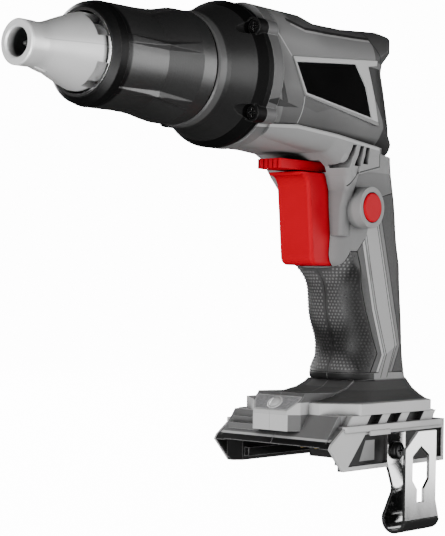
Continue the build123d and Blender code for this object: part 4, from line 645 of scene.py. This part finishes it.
# colour and roughness
metals = {
    "ring": (shade(0.7), 0.16), "sleeve": (shade(0.72), 0.5), "steel": (shade(0.42), 0.34),
    "brass": ((0.50, 0.36, 0.14), 0.32), "copper": ((0.62, 0.25, 0.11), 0.38),
}


def noseFinish():
    look = Finish("satinNose", nose)
    grain = look.noise("grain")
    bore = (nose["boreRadius"] - look.fromAxis(nose["boreHeight"])).soft(nose["boreSoft"])
    colour = look.layers(
        look.vary(look.noise("clouds"), shade(nose["grey"])),
        parting=look.zone("parting"),
        # painted highlight: the front face lighter, as lit from the front
        front=look.zone("front"),
        edges=look.edges(),
        slots=look.slots(),
        # painted shade, near black, deep in the bore
        bore=bore * look.zone("bore"),
    )
    relief = grain * nose["grainRelief"] + look.noise("marks") * nose["markRelief"]
    return look.paint(colour, look.rough(grain), relief)


def hookFinish():
    look = Finish("platedSheet", hook)
    wear = look.noise("wear")
    colour = look.layers(look.vary(wear, shade(hook["chrome"])), edges=look.edges())
    return look.paint(colour, look.rough(wear), wear)


def plainFinish(name, colour, roughness):
    look = Finish(name, plain)
    grain = look.noise("grain")
    return look.paint(look.vary(grain, colour), roughness + look.rough(grain), grain)


def turnedFinish(name, colour, roughness):
    look = Finish(name, turned)
    dull = look.noise("dull")
    return look.paint(look.vary(dull, colour), roughness + look.rough(dull), look.noise("marks"))


dress(noseFinish(), "nose_cone")
dress(hookFinish(), "belt_hook")
dress(turnedFinish("brightRing", *metals["ring"]), "collar_ring")
dress(plainFinish("castSleeve", *metals["sleeve"]), "depth_sleeve")
dress(turnedFinish("turnedSteel", *metals["steel"]),
      "ring_gear", "motor_plate", "collar_retainer", "nose_retaining_ring", "spindle", "spindle_clip",
      "spindle_bearing", "bit_holder", "holder_magnet", "screwdriver_bit", "clutch_spring",
      "planet_carrier", "planet_gear_1", "planet_gear_2", "planet_gear_3", "rotor_shaft", "rotor_core",
      "stator_core", "motor_bearings", "trigger_spring", "lock_button_spring")
dress(turnedFinish("contactBrass", *metals["brass"]), "spindle_bush", "terminal_blades", "hook_inserts")
dress(turnedFinish("windingCopper", *metals["copper"]), "stator_coils")

# red controls
controls = {
    "red": (0.50, 0.0, 0.012), "deep": (0.42, 0.0, 0.009), "clouds": (40.0, 2.0), "grain": (1800.0, 3.0),
    "specular": 0.04, "rough": (0.36, 0.12), "bump": (0.12, 0.00012),
    "edge": 0.0008, "slot": 0.004, "bevel": 0.0006,
    "layers": {"edges": ((0.54, 0.0, 0.014), 0.5), "slots": ((0.10, 0.0, 0.0), 1.0)},
}


def redFinish():
    look = Finish("controlRed", controls)
    grain = look.noise("grain")
    colour = look.layers(
        look.mix(look.noise("clouds"), controls["deep"], controls["red"]),
        edges=look.edges(),
        slots=look.slots(),
    )
    return look.paint(colour, look.rough(grain), grain)


dress(redFinish(), "trigger", "direction_lever", "lock_button")

# lamp and what is inside, which has a colour and a roughness
lens = {
    "low": (0.22, 0.22, 0.23), "high": (0.62, 0.62, 0.63), "ripple": (900.0, 2.0),
    "clear": 0.45, "bend": 1.49, "rough": (0.08, 0.12), "bump": (0.5, 0.0003),
    "edge": 0.0009, "bevel": 0.0003,
    "layers": {"edges": (0.95, 1.0)},
}
inner = {
    "black": (shade(0.014), 0.5), "board": ((0.02, 0.11, 0.05), 0.4), "lead": ((0.30, 0.012, 0.014), 0.45),
}


def lensFinish():
    look = Finish("clearLens", lens)
    look.feed("Transmission Weight", lens["clear"])
    look.feed("IOR", lens["bend"])
    ripple = look.noise("ripple")
    colour = look.layers(look.mix(ripple, lens["low"], lens["high"]), edges=look.edges())
    return look.paint(colour, look.rough(ripple), ripple)


dress(lensFinish(), "lamp_lens")
dress(plainFinish("innerBlack", *inner["black"]),
      "cooling_fan", "switch_plunger", "switch_module", "control_module", "terminal_block")
dress(plainFinish("boardGreen", *inner["board"]), "sensor_board", "lamp_board")
dress(plainFinish("leadRed", *inner["lead"]), "motor_leads", "battery_leads")
print("finishes set")

# moulded dome over the lamp, on the middle of the lens: radius and height of each ring
lampDome = {
    "profile": [(3.9, -0.05), (3.75, 0.3), (3.3, 0.38), (3.05, 0.12), (2.7, 0.7), (1.7, 1.1), (0.8, 1.25)],
    "sides": 28, "leastTilt": 0.2, "flatness": 0.0001,
    "low": 0.5, "high": 0.75, "ripple": (800.0, 2.0), "clear": 0.3,
    "specular": 0.6, "rough": (0.05, 0.08), "bump": (0.2, 0.0001), "edge": 0.0004, "bevel": 0.0002,
    "layers": {"edges": (0.98, 1.0)},
}


def domeFinish():
    look = Finish("domeClear", lampDome)
    look.feed("Transmission Weight", lampDome["clear"])
    ripple = look.noise("ripple")
    tone = look.mix(ripple, shade(lampDome["low"]), shade(lampDome["high"]))
    return look.paint(look.layers(tone, edges=look.edges()), look.rough(ripple), ripple)


def domeOnLens():
    mesh = nodes["lamp_lens"].data
    upward = [polygon for polygon in mesh.polygons if polygon.normal.z > lampDome["leastTilt"]]
    face = max(upward, key=lambda polygon: polygon.area)
    level = face.normal.dot(face.center)
    flat = [v.co for v in mesh.vertices if abs(face.normal.dot(v.co) - level) < lampDome["flatness"]]
    middle = Vector([(min(co[k] for co in flat) + max(co[k] for co in flat)) / 2 for k in range(3)])
    turn = face.normal.to_track_quat("Z", "Y").to_matrix()
    points, faces, sides = [], [], lampDome["sides"]
    for radius, height in lampDome["profile"]:
        for k in range(sides):
            angle = 2 * math.pi * k / sides
            local = Vector((radius * math.cos(angle), radius * math.sin(angle), height))
            points.append(middle + turn @ local * mm)
    for low in range(0, len(points) - sides, sides):
        for k in range(sides):
            after = (k + 1) % sides
            faces.append((low + k, low + after, low + sides + after, low + sides + k))
    faces.append(tuple(range(len(points) - sides, len(points))))
    piece = meshPiece("lamp_dome", points, faces, domeFinish())
    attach(piece, "body")


domeOnLens()
print("lamp dome placed")

# springs that their joints shorten: each is copied onto the body in place of its part, at its rest length
springs = {
    "trigger_spring": "trigger_coil", "lock_button_spring": "button_coil",
    "clutch_spring": "clutch_coil",
}


def springCoil(joint, row):
    letter = row["mode"][-1]
    k = "xyz".index(letter)
    low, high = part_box(row["node"])
    fixed = row[f"fixed_end_{letter}_m"]
    length = max(abs(low[k] - fixed), abs(high[k] - fixed))
    anchor = [(low[axis] + high[axis]) / 2 for axis in range(3)]
    anchor[k] = fixed
    name = springs[row["node"]]
    data = nodes[row["node"]].data.copy()
    data.name = name
    piece = bpy.data.objects.new(name, data)
    bpy.context.collection.objects.link(piece)
    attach(piece, "body")
    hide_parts(row["node"])
    along = [float(axis == k) for axis in range(3)]
    1.0 - joint["range_m"][1] / length
    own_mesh(piece)
    print(name, "is", round(length / mm, 1), "mm long")


for joint in frame["record"]["behaviour"]["joints"]:
    for row in joint.get("deforming_nodes", []):
        springCoil(joint, row)

# raised dots on the grip pads, found by rays towards the grip's middle line
dots = {
    "pitch": 1.7, "rowShare": 0.866, "radius": 0.56, "height": 0.32, "sides": 7,
    "rings": [(1.0, -0.06), (0.62, 0.75)],  # shares of the radius and the height
    "low": 43.0, "high": 95.0, "middle": 22.0, "gripRadius": 25.0, "margin": 1.1,
    "halfTurn": 1.75,  # radians
    "rayFrom": 0.09, "rayLength": 0.088,  # metres
}


def addDot(points, faces, place, normal):
    turn = normal.to_track_quat("Z", "Y").to_matrix()
    base, count = len(points), dots["sides"]
    for share, lift in dots["rings"]:
        radius = share * dots["radius"]
        for k in range(count):
            angle = 2 * math.pi * k / count
            local = Vector((radius * math.cos(angle), radius * math.sin(angle), lift * dots["height"]))
            points.append(place + turn @ (local * mm))
    points.append(place + normal * dots["height"] * mm)
    for k in range(count):
        after = (k + 1) % count
        faces.append((base + k, base + after, base + count + after, base + count + k))
        faces.append((base + count + k, base + count + after, base + 2 * count))


def gripDots(node, side):
    mesh = nodes[node].data
    tree = BVHTree.FromPolygons([v.co for v in mesh.vertices], [p.vertices[:] for p in mesh.polygons])

    def touch(angle, height):
        way = Vector((math.cos(angle), math.sin(angle), 0.0))
        start = Vector((dots["middle"], 0.0, height)) * mm + way * dots["rayFrom"]
        return tree.ray_cast(start, -way, dots["rayLength"])[:2]

    points, faces = [], []
    row, height, step, margin = 0, dots["low"], dots["pitch"], dots["margin"]
    while height < dots["high"]:
        axis = Vector((dots["middle"], 0.0, height)) * mm
        offset = 0.5 + 0.5 * (row % 2)  # every second row starts half a step on
        angle = math.pi + side * offset * step / dots["gripRadius"]
        while abs(angle - math.pi) < dots["halfTurn"]:
            place, normal = touch(angle, height)
            reach = (place - axis).length / mm if place else dots["gripRadius"]
            spread = margin / reach
            around = ((spread, 0), (-spread, 0), (0, margin), (0, -margin))
            near = [touch(angle + swing, height + lift)[0] for swing, lift in around]
            if place and all(near):
                addDot(points, faces, place, normal if normal.dot(place - axis) > 0 else -normal)
            angle += side * step / reach * (1.0 if place else 0.5)
        height += step * dots["rowShare"]
        row += 1
    piece = meshPiece(f"{node}_dots", points, faces, dotRubber)
    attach(piece, "body")
    return len(points)


print("grip dots:", gripDots("left_grip_pad", 1), gripDots("right_grip_pad", -1), "points")

# floor, light and camera
studio = {
    "floor": -0.0298, "span": 30.0, "floorGrey": 0.9, "shares": (0.99, 1.01), "clouds": (3.0, 2.0),
    "floorRough": 0.7, "bevel": 0.001, "glow": 14.0, "white": (1.0, 1.0, 1.0, 1.0),
    "sky": 14.0, "ceiling": 0.06, "ground": 0.15, "away": (0.76, 0.65, 0.0), "middle": 0.6, "fall": 0.4,
}
# each soft box: its place, what it is aimed at, its width and height in metres, and its power
softBoxes = {
    "keyBox": ((-1.05, -0.35, 0.08), (-0.06, 0.0, 0.13), (0.45, 0.9), 13.0),
    "lowBox": ((-0.75, -0.40, -0.45), (-0.04, 0.0, 0.12), (0.5, 0.5), 5.5),
    "sideBox": ((0.05, -1.15, 0.20), (-0.03, 0.0, 0.11), (0.6, 0.8), 5.0),
    "farBox": ((0.1, 1.15, 0.45), (0.0, 0.0, 0.10), (0.8, 0.8), 12.0),
    "edgeBox": ((0.78, -0.72, 0.16), (0.0, -0.03, 0.10), (0.5, 0.6), 7.0),
}
# angles in degrees, focal length and picture height in pixels
shot = {
    "place": (-0.6105, -0.4559, 0.0816), "yaw": 49.4, "pitch": 0.5, "roll": 1.1,
    "focal": 1640.0, "tall": 536.0, "sensor": 36.0,
}


def studioFloor():
    look = Finish("paleFloor", studio)
    look.feed("Emission Color", studio["white"])
    look.feed("Emission Strength", studio["glow"])
    tone = look.vary(look.noise("clouds"), shade(studio["floorGrey"]))
    span = studio["span"]
    corners = [(-span, -span, 0), (span, -span, 0), (span, span, 0), (-span, span, 0)]
    floor = meshPiece("floor", corners, [(0, 1, 2, 3)], look.paint(tone, studio["floorRough"]))
    floor.location.z = studio["floor"]
    floor.visible_diffuse = False
    floor.visible_glossy = False
    floor.visible_transmission = False
    floor.visible_shadow = False


def studioRoom():
    world = bpy.data.worlds.new("paleRoom")
    world.use_nodes = True
    tree = world.node_tree
    seen = Sock.make(tree, "ShaderNodeLightPath", out="Is Camera Ray")
    way = Sock.make(tree, "ShaderNodeTexCoord", out="Generated")
    height = Sock.make(tree, "ShaderNodeSeparateXYZ", None, {0: way}, out="Z")
    inputs = {0: way, 1: studio["away"]}
    far = Sock.make(tree, "ShaderNodeVectorMath", {"operation": "DOT_PRODUCT"}, inputs, out="Value")
    upright = studio["ground"] + (height * 0.5 + 0.5) * (studio["ceiling"] - studio["ground"])
    room = upright * (studio["middle"] - far * studio["fall"])
    strength = seen * studio["sky"] + (1.0 - seen) * room
    background = tree.nodes["Background"]
    tree.links.new(strength.socket, background.inputs["Strength"])
    background.inputs["Color"].default_value = studio["white"]
    bpy.context.scene.world = world


def softBox(name, place, aim, size, power):
    light = bpy.data.lights.new(name, "AREA")
    light.shape = "RECTANGLE"
    light.size, light.size_y = size
    light.energy = power
    lamp = bpy.data.objects.new(name, light)
    lamp.location = place
    lamp.rotation_euler = (Vector(aim) - Vector(place)).to_track_quat("-Z", "Y").to_euler()
    bpy.context.collection.objects.link(lamp)


def studioCamera():
    yaw, pitch, roll = (math.radians(shot[key]) for key in ("yaw", "pitch", "roll"))
    ahead = Vector((math.sin(yaw) * math.cos(pitch), math.cos(yaw) * math.cos(pitch), math.sin(pitch)))
    level = Vector((math.cos(yaw), -math.sin(yaw), 0.0))
    rise = level.cross(ahead)
    right = level * math.cos(roll) + rise * math.sin(roll)
    up = rise * math.cos(roll) - level * math.sin(roll)
    camera = bpy.data.objects.new("camera", bpy.data.cameras.new("camera"))
    rows = zip(right, up, -ahead, shot["place"])
    camera.matrix_world = Matrix((*rows, (0.0, 0.0, 0.0, 1.0)))
    camera.data.sensor_width = shot["sensor"]
    camera.data.lens = shot["focal"] / shot["tall"] * shot["sensor"]
    bpy.context.collection.objects.link(camera)
    bpy.context.scene.camera = camera


studioFloor()
studioRoom()
for name, box in softBoxes.items():
    softBox(name, *box)
studioCamera()
print("studio ready")
